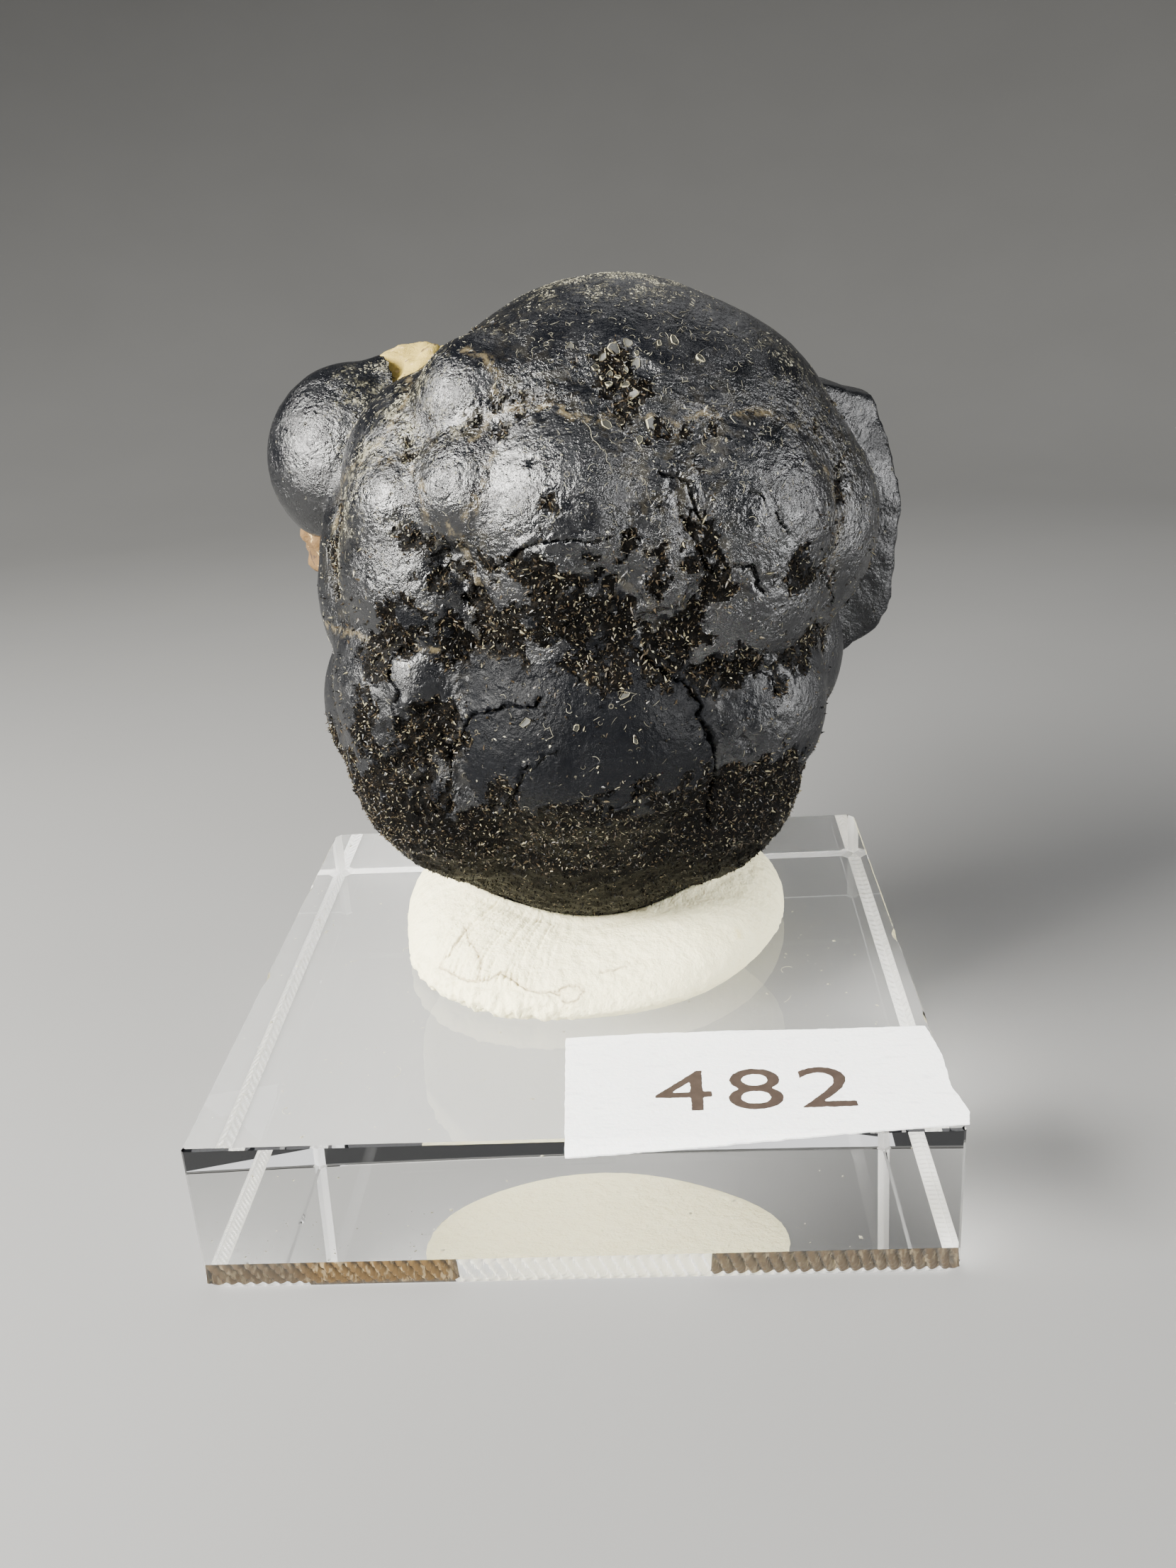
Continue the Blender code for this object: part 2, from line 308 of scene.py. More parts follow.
def even_skin(source, voxel, name):
    """The same form as a closed skin of even squares, voxel mm wide."""
    copy = source.copy()
    copy.data = source.data.copy()
    copy.parent = None
    bpy.context.scene.collection.objects.link(copy)
    remesh = copy.modifiers.new("Even squares", "REMESH")
    remesh.mode = "VOXEL"
    remesh.voxel_size = voxel * MM
    graph = bpy.context.evaluated_depsgraph_get()
    skin = bpy.data.meshes.new_from_object(copy.evaluated_get(graph))
    bpy.data.objects.remove(copy, do_unlink=True)
    skin.name = name
    return skin


def noise_at(points, width, octaves=3, shift=0.0):
    """Noise from about -1 to 1 at points in mm, with lumps about so many mm wide."""
    rows = points / width + shift
    return np.array([noise.fractal(row, 1.0, 2.0, octaves) for row in rows.tolist()])


def smooth_step(value, low, high):
    """0 below low, 1 above high, and an even slope between."""
    t = np.clip((value - low) / (high - low), 0.0, 1.0)
    return t * t * (3 - 2 * t)


print("halfway up a smooth step:", float(smooth_step(0.5, 0.0, 1.0)))

# %% [markdown]
# ## Floor
#
# The specimen stands on a plain pale surface that sweeps up all round, like the paper sweep of a
# product studio. One turned profile makes it: flat in the middle, then a long curve upwards.

# %% Floor sweep
FLOOR_FLAT = 260
FLOOR_REACH = 620
FLOOR_RISE = 260
FLOOR_RINGS = 24
FLOOR_SIDES = 96
FLOOR_GAP = 0.1

floor_finish = Finish("pale_paper", roughness=0.85)
floor_finish.colour(
    floor_finish.mixed(floor_finish.noise(40, detail=2), (0.155, 0.155, 0.152, 1), (0.17, 0.17, 0.167, 1))
)
bm = bmesh.new()
rings = []
for ring in range(FLOOR_RINGS + 1):
    out = ring / FLOOR_RINGS
    radius = FLOOR_REACH * out
    climb = max(0.0, (radius - FLOOR_FLAT) / (FLOOR_REACH - FLOOR_FLAT))
    turns = [2 * pi * side / FLOOR_SIDES for side in range(FLOOR_SIDES)]
    height = (FLOOR_RISE * climb**2 - FLOOR_GAP) * MM
    rings.append([bm.verts.new((radius * MM * cos(t), radius * MM * sin(t), height)) for t in turns])
for inner, outer in zip(rings[1:], rings[2:]):
    for side in range(FLOOR_SIDES):
        after = (side + 1) % FLOOR_SIDES
        bm.faces.new((inner[side], outer[side], outer[after], inner[after]))
bm.faces.new(rings[1])
for middle in rings[0]:
    bm.verts.remove(middle)
floor_mesh = bpy.data.meshes.new("floor_sweep")
bm.to_mesh(floor_mesh)
bm.free()
floor_mesh.materials.append(floor_finish.material)
floor_mesh.shade_smooth()
floor = bpy.data.objects.new("floor_sweep", floor_mesh)
bpy.context.scene.collection.objects.link(floor)
print("the floor sweep is", 2 * FLOOR_REACH, "mm wide")

# %% [markdown]
# ## The nodule's form
#
# The stone is two egg-shaped masses, a shell of lobes seated on them, a ball at the left and a
# broken slab at the right. The measured model holds the same forms in coarse facets. To get smooth
# lobes with crisp creases between them, its skin is remade as a fine even net, and then every point
# slides onto the true rounded form, which is worked out as a distance: how far is this point from
# the nearest ball? A whisker of blending rounds the bottom of each crease.

# %% The two masses and their lobes, in mm
MASSES = {
    "upper": ((2.5, 4.0, 44.4), (19.2, 14.8, 16.3)),
    "lower": ((0.8, 4.0, 32.7), (18.7, 14.4, 19.6)),
}
MASS_INSET = 0.9

# Each lobe: its mass, its azimuth (0 in front, 90 at the right) and elevation in degrees, the
# radius of its curve, and how far it stands proud
LOBES = {
    "crown": ("upper", 22, 52, 15.0, 1.6),
    "crown_left": ("upper", -12, 47, 10.0, 1.3),
    "crown_right": ("upper", 52, 40, 11.5, 1.8),
    "crown_back": ("upper", 165, 48, 12.0, 1.0),
    "brow_left": ("upper", -31, 45, 5.0, 2.2),
    "left_rim": ("upper", -44, 15, 5.2, 2.1),
    "left_edge": ("upper", -52, 28, 8.0, 1.2),
    "centre": ("upper", -3, 16, 8.6, 2.7),
    "left_high": ("upper", -24, 20, 5.2, 2.2),
    "left_mid": ("upper", -42, -7, 8.8, 2.1),
    "between": ("upper", 15, 17, 5.0, 2.1),
    "right": ("upper", 37, 11, 8.8, 2.7),
    "far_right": ("upper", 72, 3, 9.0, 1.8),
    "right_rim": ("upper", 66, 21, 7.0, 1.3),
    "middle": ("upper", -6, -5, 7.6, 1.8),
    "middle_right": ("upper", 35, -11, 8.0, 2.1),
    "ridge": ("upper", 16, 2, 6.0, 1.9),
    "left_low": ("lower", -43, 8, 8.2, 2.3),
    "lower": ("lower", 4, 1, 12.0, 2.8),
    "right_low": ("lower", 50, -1, 8.0, 2.1),
    "left_foot": ("lower", -42, -17, 11.0, 1.7),
    "right_foot": ("lower", 46, -27, 10.0, 1.2),
    "foot": ("lower", 5, -31, 13.0, 0.7),
    "side_right": ("lower", 92, 8, 7.5, 1.6),
    "side_left": ("lower", -95, -4, 8.5, 1.1),
    "side_left_high": ("upper", -84, -4, 7.0, 0.9),
    "left_waist": ("upper", -80, -21, 7.0, 2.2),
    "back_right": ("upper", 132, 14, 8.0, 1.5),
    "back_right_low": ("lower", 138, -6, 9.0, 1.7),
    "back_low": ("lower", 178, -28, 10.0, 1.2),
    "back_left_low": ("lower", -142, -10, 8.0, 1.5),
}
LEFT_BALLS = [
    ((-15.7, 10.8, 49.3), (6.8, 6.4, 7.2)),
    ((-12.0, 11.6, 52.8), (4.6, 4.4, 4.2)),
]

print(len(LOBES), "lobes on", len(MASSES), "masses")

# %% The broken slab at the right, in mm
# Its corners seen from the front: X and Z, and the depths Y of its front and back faces
SLAB_EDGE = [
    (14.0, 55.0, 5.0, 13.0),
    (20.2, 53.3, 7.6, 12.5),
    (23.6, 52.2, 8.8, 11.8),
    (24.9, 48.6, 8.4, 12.6),
    (25.8, 44.5, 7.8, 12.2),
    (25.0, 40.5, 7.2, 13.4),
    (25.0, 36.4, 7.6, 11.6),
    (24.2, 34.6, 8.2, 10.8),
    (19.0, 31.5, 7.0, 13.0),
    (10.0, 36.0, 4.0, 15.5),
    (8.0, 46.0, 3.0, 16.5),
]


def slab_planes():
    """The slab's faces, each as its outward direction and its distance along it."""
    bm = bmesh.new()
    corners = [bm.verts.new((x, y, z)) for x, z, *depths in SLAB_EDGE for y in depths]
    bmesh.ops.convex_hull(bm, input=corners)
    bmesh.ops.recalc_face_normals(bm, faces=bm.faces)
    planes = [(np.array(f.normal), f.normal.dot(f.verts[0].co)) for f in bm.faces]
    bm.free()
    return planes


SLAB = slab_planes()
print("the slab has", len(SLAB), "faces")


# %% How far a point is from a ball
def lobe_middle(mass, azimuth, elevation, radius, proud):
    """Middle of a lobe whose tip stands proud of its mass in the given direction."""
    middle, half = (np.array(v) for v in MASSES[mass])
    turn, rise = radians(azimuth), radians(elevation)
    way = np.array((sin(turn) * cos(rise), -cos(turn) * cos(rise), sin(rise)))
    outward = way / half
    return middle + way * half + outward / np.linalg.norm(outward) * (proud - radius)


def ball_gap(points, middle, radii):
    """Distance from an egg-shaped ball, negative inside it."""
    off = points - np.asarray(middle, float)
    radii = np.broadcast_to(np.asarray(radii, float), 3)
    near = np.linalg.norm(off / radii, axis=1)
    slope = np.linalg.norm(off / radii**2, axis=1)
    return near * (near - 1) / slope


BALLS = [(middle, np.array(half) - MASS_INSET) for middle, half in MASSES.values()]
BALLS += [(lobe_middle(*lobe), lobe[3]) for lobe in LOBES.values()]
BALLS += LEFT_BALLS
print(len(BALLS), "balls in all")

# %% How far a point is from the whole form
CREASE_ROUNDING = 0.28
WAIST_HEIGHT = 38.8
WAIST_REACH = 2.0
WAIST_FILL = 0.35


def crease_rounding(points):
    """How widely creases are rounded, in mm: crisp between lobes, but crust fills the waist."""
    waist = np.exp(-(((points[:, 2] - WAIST_HEIGHT) / WAIST_REACH) ** 2))
    return CREASE_ROUNDING + WAIST_FILL * waist


def form_gap(points, rounding=None):
    """Distance from the nodule's clean form."""
    if rounding is None:
        rounding = crease_rounding(points)
    gaps = [ball_gap(points, middle, radii) for middle, radii in BALLS]
    gaps.append(np.max([points @ way - reach for way, reach in SLAB], axis=0))
    gaps = np.array(gaps)
    nearest = gaps.min(axis=0)
    return nearest - rounding * np.log(np.exp((nearest - gaps) / rounding).sum(axis=0))


def form_slope(points, step=0.01):
    """The way straight out of the form at each point, and the gap there."""
    here = form_gap(points)
    slope = np.array([form_gap(points + step * axis) - here for axis in np.eye(3)]).T
    return slope / np.linalg.norm(slope, axis=1)[:, None], here


def on_form(places):
    """The places, slid onto the clean form."""
    places = np.array(places, float)
    for _ in range(3):
        outward, gap = form_slope(places)
        places = places - gap[:, None] * outward
    return places


tip = np.array([[-1.0, -14.0, 50.0]])
print("the centre lobe is", round(float(form_gap(tip)[0]), 2), "mm from", tip[0])

# %% Which lobes are glossy, satin or dull
# The rest of the lobes are glossy
SATIN_LOBES = (
    "left_low", "right_low", "left_foot", "side_right", "side_left", "back_right_low", "back_left_low",
)
DULL_LOBES = ("lower", "right_foot", "foot", "back_low")


def lobes_gap(points, names):
    """Distance from the nearest of the named lobes."""
    balls = [(lobe_middle(*LOBES[name]), LOBES[name][3]) for name in names]
    return np.min([ball_gap(points, middle, radius) for middle, radius in balls], axis=0)


def shine_kind(points):
    """0 for each point nearest to a glossy lobe, 1 for a satin one or the slab and 2 for a dull one."""
    glossy = [name for name in LOBES if name not in SATIN_LOBES + DULL_LOBES]
    gaps = [lobes_gap(points, names) for names in (glossy, SATIN_LOBES, DULL_LOBES)]
    slab = np.max([points @ way - reach for way, reach in SLAB], axis=0)
    gaps[1] = np.minimum(gaps[1], slab)
    return np.argmin(gaps, axis=0)


print(len(SATIN_LOBES), "satin and", len(DULL_LOBES), "dull lobes")

# %% [markdown]
# ## Rough places
#
# The lobes are smooth, but a crust of tiny crystals lies in a band under the upper lobes, in the
# creases, and all over the lowest third. Each rough patch is a soft spot given by its middle, its
# reach and its strength, chosen from the photograph. The result, `crust`, runs from 0 on a
# bare lobe to 1 in the thick of it. It drives the relief, the finish and the crystals, so the
# three always agree. Some bare lobes are dented all over as if by a tiny hammer, and pale dust
# has settled along the top: these two are soft spots of the same kind.

# %% The spots, in mm
# Each: middle, reach and strength
CRUST_SPOTS = [
    ((3.0, -11.9, 41.8), 3.0, 0.95),
    ((8.2, -10.5, 39.6), 2.6, 0.7),
    ((0.8, -11.0, 42.4), 2.8, 0.9),
    ((-0.3, -11.7, 45.4), 2.2, 0.8),
    ((2.4, -11.9, 44.6), 2.0, 0.6),
    ((12.7, -8.3, 37.8), 2.2, 0.9),
    ((16.5, -4.8, 37.6), 2.8, 0.8),
    ((15.9, -6.4, 36.4), 1.8, 0.8),
    ((9.6, -8.3, 37.2), 1.8, 0.8),
    ((3.0, -11.0, 38.9), 3.0, 0.8),
    ((-6.5, -8.9, 40.6), 2.6, 0.8),
    ((-4.2, -10.6, 42.9), 1.6, 0.8),
    ((-9.6, -8.6, 41.6), 2.8, 0.8),
    ((-2.6, -10.8, 40.8), 2.6, 0.8),
    ((6.8, -10.4, 38.6), 2.2, 0.8),
    ((-12.6, -6.6, 35.0), 2.2, 0.6),
    ((-12.0, -7.3, 38.9), 2.2, 0.7),
    ((-8.6, -9.4, 33.6), 3.2, 1.0),
    ((-10.6, -8.4, 29.6), 3.8, 0.9),
    ((-4.0, -10.6, 27.4), 3.6, 0.8),
    ((3.6, -10.6, 26.0), 4.6, 0.8),
    ((11.0, -8.0, 27.0), 4.0, 0.8),
    ((14.6, -5.6, 29.0), 3.2, 0.7),
    ((15.6, -8.0, 43.6), 2.2, 0.7),
    ((-6.6, -9.3, 44.4), 1.8, 0.7),
    ((0.5, -12.5, 49.0), 1.1, 0.5),
    ((-8.9, -9.5, 47.1), 1.3, 0.6),
    ((4.6, -7.6, 56.6), 2.2, 0.85),
    ((6.4, -8.4, 55.4), 2.0, 0.9),
    ((-13.4, -6.6, 32.6), 3.0, 0.6),
]
HAMMERED_SPOTS = [
    ((12.4, -9.8, 49.8), 4.6, 1.0),
    ((0.5, -12.5, 50.0), 5.0, 0.5),
    ((9.0, -10.8, 44.0), 3.6, 0.9),
    ((15.6, -8.2, 46.4), 3.8, 1.0),
    ((13.1, -10.1, 43.5), 2.6, 0.6),
    ((-9.2, -9.0, 48.0), 3.2, 0.7),
    ((-10.6, -8.2, 44.0), 3.4, 0.8),
    ((-13.2, -7.0, 35.6), 4.2, 1.0),
    ((-12.2, -7.2, 31.4), 3.4, 0.9),
    ((14.6, -7.4, 33.4), 3.6, 0.9),
    ((5.6, -7.2, 56.0), 3.0, 0.6),
]
DUST_SPOTS = [
    ((-8.3, -4.3, 55.3), 3.2, 0.9),
    ((-10.4, -5.4, 52.4), 3.2, 1.0),
    ((-12.6, -5.6, 49.4), 3.2, 0.8),
    ((-14.6, -3.6, 45.6), 3.4, 0.7),
    ((-12.4, 8.0, 55.6), 3.6, 1.0),
    ((-13.4, 5.6, 53.6), 3.0, 0.9),
    ((-11.6, 4.4, 51.0), 3.0, 0.8),
    ((-5.2, -7.4, 54.4), 1.3, 0.8),
    ((-9.6, -9.2, 47.6), 1.6, 0.6),
    ((15.6, -2.0, 55.8), 2.6, 0.6),
]

print(len(CRUST_SPOTS), "crusty,", len(HAMMERED_SPOTS), "hammered and", len(DUST_SPOTS), "dusty spots")

# %% Soft spots
# Noise that shakes their edges: how far, and how wide its lumps are
SPOT_SHAKE = ((1.1, 3.2), (0.5, 0.9))
# Where a spot starts and where it is full, as shares of its reach
SPOT_EDGE = (1.2, 0.25)


def shaken(points, sizes):
    """The points, moved about by noise, so that what is measured from them has ragged edges."""
    moved = points.copy()
    for amount, width in sizes:
        for axis in range(3):
            moved[:, axis] += amount * noise_at(points, width, 2, shift=20.0 + 7 * axis)
    return moved


def soft_spots(points, spots):
    """The strongest of the spots at each point, from 0 to 1, with ragged edges."""
    found = np.zeros(len(points))
    ragged = shaken(points, SPOT_SHAKE)
    middles = on_form([middle for middle, *_ in spots])
    for middle, (_, reach, strength) in zip(middles, spots):
        away = np.linalg.norm(ragged - middle, axis=1) / reach
        found = np.maximum(found, strength * smooth_step(away, *SPOT_EDGE))
    return found


first = np.array([CRUST_SPOTS[0][0]])
print("the first spot is", round(float(soft_spots(first, CRUST_SPOTS)[0]), 2), "crusty")

# %% Crust and dust
# Heights at which the foot's crust begins and is full, and the noise that shakes its edge
FOOT_CRUST = (33.5, 25.0)
FOOT_SHAKE = ((2.2, 5.5), (0.9, 1.5))
# The crust gathers in clusters of three sizes: how strongly, and how wide
CLUSTERS = ((0.60, 1.3), (0.30, 3.5), (0.40, 0.5))
# Heights at which the dust on top begins and is full
TOP_DUST = (59.8, 61.8)


def crust_at(points, creases):
    """How crusty the nodule is, from 0 to 1. Creases is how deep in a crease each point lies."""
    foot = smooth_step(shaken(points, FOOT_SHAKE)[:, 2], *FOOT_CRUST)
    behind = 0.5 * smooth_step(points[:, 1], 13.0, 18.0) * (points[:, 0] < 20.0)
    in_crease = (0.45 - 0.22 * smooth_step(points[:, 2], 43.0, 48.0)) * smooth_step(creases, 0.7, 1.2)
    dense = np.maximum.reduce([soft_spots(points, CRUST_SPOTS), behind, in_crease, foot])
    bar = 0.40 + sum(much * noise_at(points, width, 3, shift=7.0) for much, width in CLUSTERS)
    bar = np.maximum(bar, 0.12)
    return smooth_step(dense, bar - 0.20, bar + 0.18) * smooth_step(dense, 0.02, 0.30)


def dust_at(points):
    """How dusty the nodule is, from 0 to 1."""
    on_top = 0.9 * smooth_step(points[:, 2], *TOP_DUST)
    return np.maximum(soft_spots(points, DUST_SPOTS), on_top)


print("crust is full below", FOOT_CRUST[1], "mm, dust above", TOP_DUST[1], "mm")

# %% [markdown]
# ## Cracks
#
# Drying and knocks have cracked the shell. Each crack is a short line over the surface, given by
# its points in mm, with the depth of its groove and the height of the lip at one side: one edge
# has lifted a little, which is what makes a crack catch the light. Straight lines would look
# drawn, so the points are first shaken by two sizes of noise, and the crack jumps about as a real
# one does.

# %% The cracks, in mm
# Each: points, half-width of the groove, its depth, and the lip's height (its sign is the side)
CRACKS = [
    ([(7.3, -11.0, 50.5), (8.2, -11.0, 50.2), (8.6, -10.8, 50.4), (9.1, -10.8, 49.8),
      (9.4, -10.9, 49.0), (9.7, -10.9, 48.1), (10.2, -10.9, 47.2)], 0.16, 0.40, 0.22),
    ([(9.5, -10.6, 45.9), (9.8, -10.4, 44.9), (10.5, -10.2, 44.3), (11.3, -10.3, 44.6),
      (11.8, -10.3, 44.5), (13.0, -10.1, 44.5), (13.3, -9.9, 43.8), (13.4, -10.0, 43.0),
      (13.9, -10.0, 42.5)], 0.17, 0.45, 0.20),
    ([(13.0, -10.5, 49.1), (13.7, -10.2, 48.8), (14.0, -10.1, 48.4)], 0.10, 0.25, 0.10),
    ([(14.6, -9.8, 47.9), (14.8, -9.7, 47.0), (15.2, -9.5, 46.3)], 0.12, 0.35, 0.12),
    ([(16.9, -7.6, 47.2), (17.3, -6.8, 46.2), (17.6, -6.4, 45.6)], 0.10, 0.25, 0.10),
    ([(18.4, -4.4, 49.8), (19.1, -4.4, 48.7)], 0.10, 0.25, 0.08),
    ([(14.0, -6.2, 53.5), (14.6, -6.3, 52.9), (14.9, -6.5, 52.6)], 0.08, 0.2, 0.05),
    ([(13.6, -8.3, 52.2), (13.8, -8.6, 51.7), (14.5, -8.6, 51.4)], 0.08, 0.2, 0.05),
    ([(15.1, -9.0, 43.9), (15.4, -9.0, 42.8), (15.8, -8.6, 42.3)], 0.12, 0.3, 0.12),
    ([(18.0, -5.6, 42.7), (18.6, -4.6, 41.4), (18.8, -3.0, 39.8)], 0.12, 0.3, 0.15),
    ([(10.4, -8.5, 38.1), (12.0, -8.2, 37.6), (13.2, -8.1, 37.8), (14.0, -7.9, 37.9),
      (15.3, -6.2, 37.2)], 0.22, 0.40, 0.0),
    ([(13.5, -7.7, 36.1), (13.8, -7.4, 36.4), (14.3, -7.4, 35.8), (14.8, -7.6, 35.0),
      (15.1, -7.5, 34.4)], 0.10, 0.25, -0.15),
    ([(5.7, -10.3, 38.7), (7.0, -10.0, 37.4), (8.2, -9.6, 36.4), (9.1, -9.3, 35.1),
      (9.4, -9.2, 34.5), (9.0, -9.6, 34.2), (9.4, -9.5, 33.6), (9.8, -9.3, 32.7),
      (10.3, -9.1, 32.0), (10.6, -8.9, 30.5), (10.6, -8.5, 29.0), (10.1, -8.3, 27.3),
      (10.1, -8.2, 25.7)], 0.17, 0.50, 0.18),
    ([(-8.6, -8.2, 39.3), (-9.4, -8.1, 39.6), (-10.3, -7.8, 39.1), (-10.7, -7.9, 38.5),
      (-10.9, -8.3, 37.6), (-10.6, -8.7, 37.0), (-10.4, -8.9, 36.6), (-10.7, -9.0, 35.9),
      (-10.9, -9.1, 35.1)], 0.12, 0.35, -0.18),
    ([(-0.7, -11.8, 36.5), (-1.2, -11.9, 36.1), (-1.9, -11.7, 36.0), (-3.1, -11.2, 35.9),
      (-3.9, -10.9, 35.5), (-4.9, -10.4, 35.2), (-5.8, -10.0, 34.5), (-6.3, -9.7, 33.6),
      (-6.9, -9.5, 33.0), (-7.4, -9.3, 32.2), (-7.5, -9.3, 31.2), (-7.5, -9.3, 30.3)],
     0.13, 0.40, 0.20),
    ([(-7.3, -9.5, 29.4), (-7.6, -9.3, 28.1)], 0.12, 0.3, 0.1),
    ([(-8.8, -9.0, 28.5), (-8.8, -8.9, 27.6)], 0.10, 0.3, 0.1),
    ([(-4.4, -10.0, 27.6), (-3.4, -11.1, 29.1), (-2.3, -12.1, 31.0), (-1.9, -12.3, 32.1),
      (0.3, -12.6, 33.4)], 0.10, 0.12, 0.22),
    ([(3.3, -11.9, 28.6), (4.8, -11.7, 29.3), (5.2, -12.0, 30.6), (5.6, -11.9, 31.1),
      (6.2, -11.5, 30.4)], 0.10, 0.05, -0.2),
    ([(1.5, -12.6, 30.3), (2.2, -12.3, 29.6), (2.7, -12.0, 28.7), (2.8, -11.5, 27.4)],
     0.10, 0.05, -0.2),
]
print(len(CRACKS), "cracks")

# %% Troughs and ledges, in mm
# Each is given as a crack is
TROUGHS = [
    ([(8.0, -11.1, 49.8), (8.4, -11.1, 48.7), (8.9, -11.1, 47.4), (9.3, -10.9, 46.5)], 0.75, 0.24, 0.0),
    ([(14.2, -9.8, 49.4), (14.6, -9.7, 48.2), (14.9, -9.6, 46.9)], 0.55, 0.16, 0.0),
]
LEDGES = [
    ([(-3.1, -11.2, 45.3), (-2.1, -11.3, 45.7), (-1.1, -11.7, 46.7), (0.3, -12.3, 47.1),
      (1.6, -12.4, 47.2), (2.9, -12.2, 46.9), (4.0, -11.8, 47.0), (5.1, -11.3, 47.1),
      (6.2, -11.1, 46.6)], 0.14, 0.28, 0.24),
    ([(-7.4, -9.5, 29.6), (-5.2, -10.4, 28.2), (-3.8, -10.9, 28.7), (-2.6, -11.9, 30.6),
      (-1.9, -12.3, 32.1)], 0.12, 0.20, 0.20),
]
CRACKS = [(on_form(line), *sizes) for line, *sizes in CRACKS + TROUGHS + LEDGES]
print(len(CRACKS), "cracks, troughs and ledges in all")

# %% Pits, buttons and pimples, in mm
# Small holes: place and half-width
PITS = [
    ((-6.7, -9.7, 45.8), 0.75),
    ((-5.3, -9.7, 42.9), 0.5),
    ((-4.4, -10.6, 43.6), 0.4),
    ((-0.3, -11.4, 51.8), 0.25),
    ((12.6, -8.8, 31.9), 0.45),
    ((13.1, -8.7, 31.1), 0.3),
    ((7.5, -11.2, 43.8), 0.45),
]
# Raised buttons at the left: place, half-width and height
BUTTONS = [
    ((-9.6, -8.8, 37.3), 2.1, 0.55),
    ((-9.8, -9.2, 35.8), 0.75, 0.45),
]
# Little round bumps, which all have about the same size
PIMPLES = [
    (12.7, -10.2, 44.7), (13.1, -10.1, 42.8), (14.1, -9.6, 44.0), (11.6, -10.4, 43.4),
    (11.7, -8.9, 33.8), (12.4, -8.9, 32.7), (11.6, -9.1, 32.0), (13.6, -8.6, 32.6),
    (14.1, -8.1, 30.0), (12.1, -8.8, 30.6), (-2.1, -10.7, 38.0), (-3.0, -10.6, 37.3),
    (-1.2, -10.8, 37.9), (-2.2, -11.8, 35.4), (-4.0, -11.2, 34.3), (7.8, -10.8, 33.1),
    (8.5, -10.4, 31.9), (9.2, -9.7, 32.7), (7.7, -10.9, 31.2), (6.9, -11.2, 32.2),
]
PIMPLE = (0.42, 0.13)
# Broad hollows with a ragged rim: place, half-width and depth
HOLLOWS = [
    ((5.0, -8.0, 56.2), 2.1, 0.22),
    ((3.4, -11.9, 43.8), 2.8, 0.28),
    ((8.6, -10.4, 41.6), 2.2, 0.28),
    ((-6.5, -9.7, 45.6), 1.3, 0.30),
    ((-9.4, -9.4, 33.0), 2.6, 0.25),
]
print(len(PITS), "pits,", len(BUTTONS), "buttons and", len(PIMPLES), "pimples")


# %% Measuring along the skin
FAR = 9.0
DEEP = 2.5


def along_skin(off, ways):
    """Length of each offset along the skin, leaving out what points straight out of it."""
    out = (off * ways).sum(axis=1)
    flat = np.linalg.norm(off - out[:, None] * ways, axis=1)
    return np.where(np.abs(out) < DEEP, flat, FAR)


def line_distance(points, ways, line):
    """Distance along the skin from a line, and the side of the line that each point is on."""
    line = np.asarray(line)
    nearest = np.full(len(points), FAR)
    side = np.zeros(len(points))
    close = np.linalg.norm(points - line.mean(axis=0), axis=1) < 12
    points, ways = points[close], ways[close]
    best, best_side = nearest[close], side[close]
    for start, end in zip(line[:-1], line[1:]):
        run = end - start
        along = np.clip((points - start) @ run / (run @ run), 0.0, 1.0)
        off = points - (start + along[:, None] * run)
        away = along_skin(off, ways)
        best_side = np.where(away < best, run[0] * off[:, 2] - run[2] * off[:, 0], best_side)
        best = np.minimum(best, away)
    nearest[close], side[close] = best, best_side
    return nearest, side


print("distances along the skin stop at", FAR, "mm")

# %% Carving
LIP_REACH = 0.6
CRACK_SHAKE = ((0.22, 1.0), (0.10, 0.32))
HOLLOW_SHAKE = ((1.4, 2.4), (0.4, 0.8))


def crack_relief(points, ways, line, half_width, depth, lip):
    """Height that one crack gives the surface: a groove, and a lip that fades away from it."""
    nearest, side = line_distance(points, ways, line)
    gape = half_width * (0.55 + 0.30 * np.sin(points @ np.array((2.1, 0.7, 1.7))))
    groove = -depth * np.exp(-((nearest / gape) ** 2))
    on_lip = (np.sign(side) == np.sign(lip)) * smooth_step(nearest, 0.0, half_width)
    return groove + 0.6 * abs(lip) * smooth_step(nearest, LIP_REACH, 0.0) * on_lip


def carved(points, ways, cracks, pits=(), buttons=(), hollows=()):
    """Height from all the cracks, pits, buttons and hollows."""
    rise = np.zeros(len(points))
    rough = shaken(points, CRACK_SHAKE)
    for crack in cracks:
        rise += crack_relief(rough, ways, *crack)
    for place, half_width in pits:
        away = along_skin(rough - np.array(place), ways)
        rise -= 0.8 * half_width * np.exp(-((away / half_width) ** 2))
    for place, half_width, height in buttons:
        away = along_skin(points - np.array(place), ways)
        rise += height * np.clip(1 - (away / half_width) ** 2, 0, None)
    ragged = shaken(points, HOLLOW_SHAKE)
    for place, half_width, depth in hollows:
        away = along_skin(ragged - np.array(place), ways)
        rise -= depth * smooth_step(away, half_width * 1.15, half_width * 0.75)
    return rise


def carving_nearness(points, ways, cracks, pits=(), hollows=()):
    """Distance to the nearest crack, pit or rim of a hollow."""
    rough = shaken(points, CRACK_SHAKE)
    nearest = np.min([line_distance(rough, ways, line)[0] for line, *_ in cracks], axis=0)
    for place, half_width in pits:
        nearest = np.minimum(nearest, along_skin(rough - np.array(place), ways) - half_width)
    ragged = shaken(points, HOLLOW_SHAKE)
    for place, half_width, _ in hollows:
        rim = np.abs(along_skin(ragged - np.array(place), ways) - half_width)
        nearest = np.minimum(nearest, rim)
    return nearest


print("a crack's lip fades over", LIP_REACH, "mm")

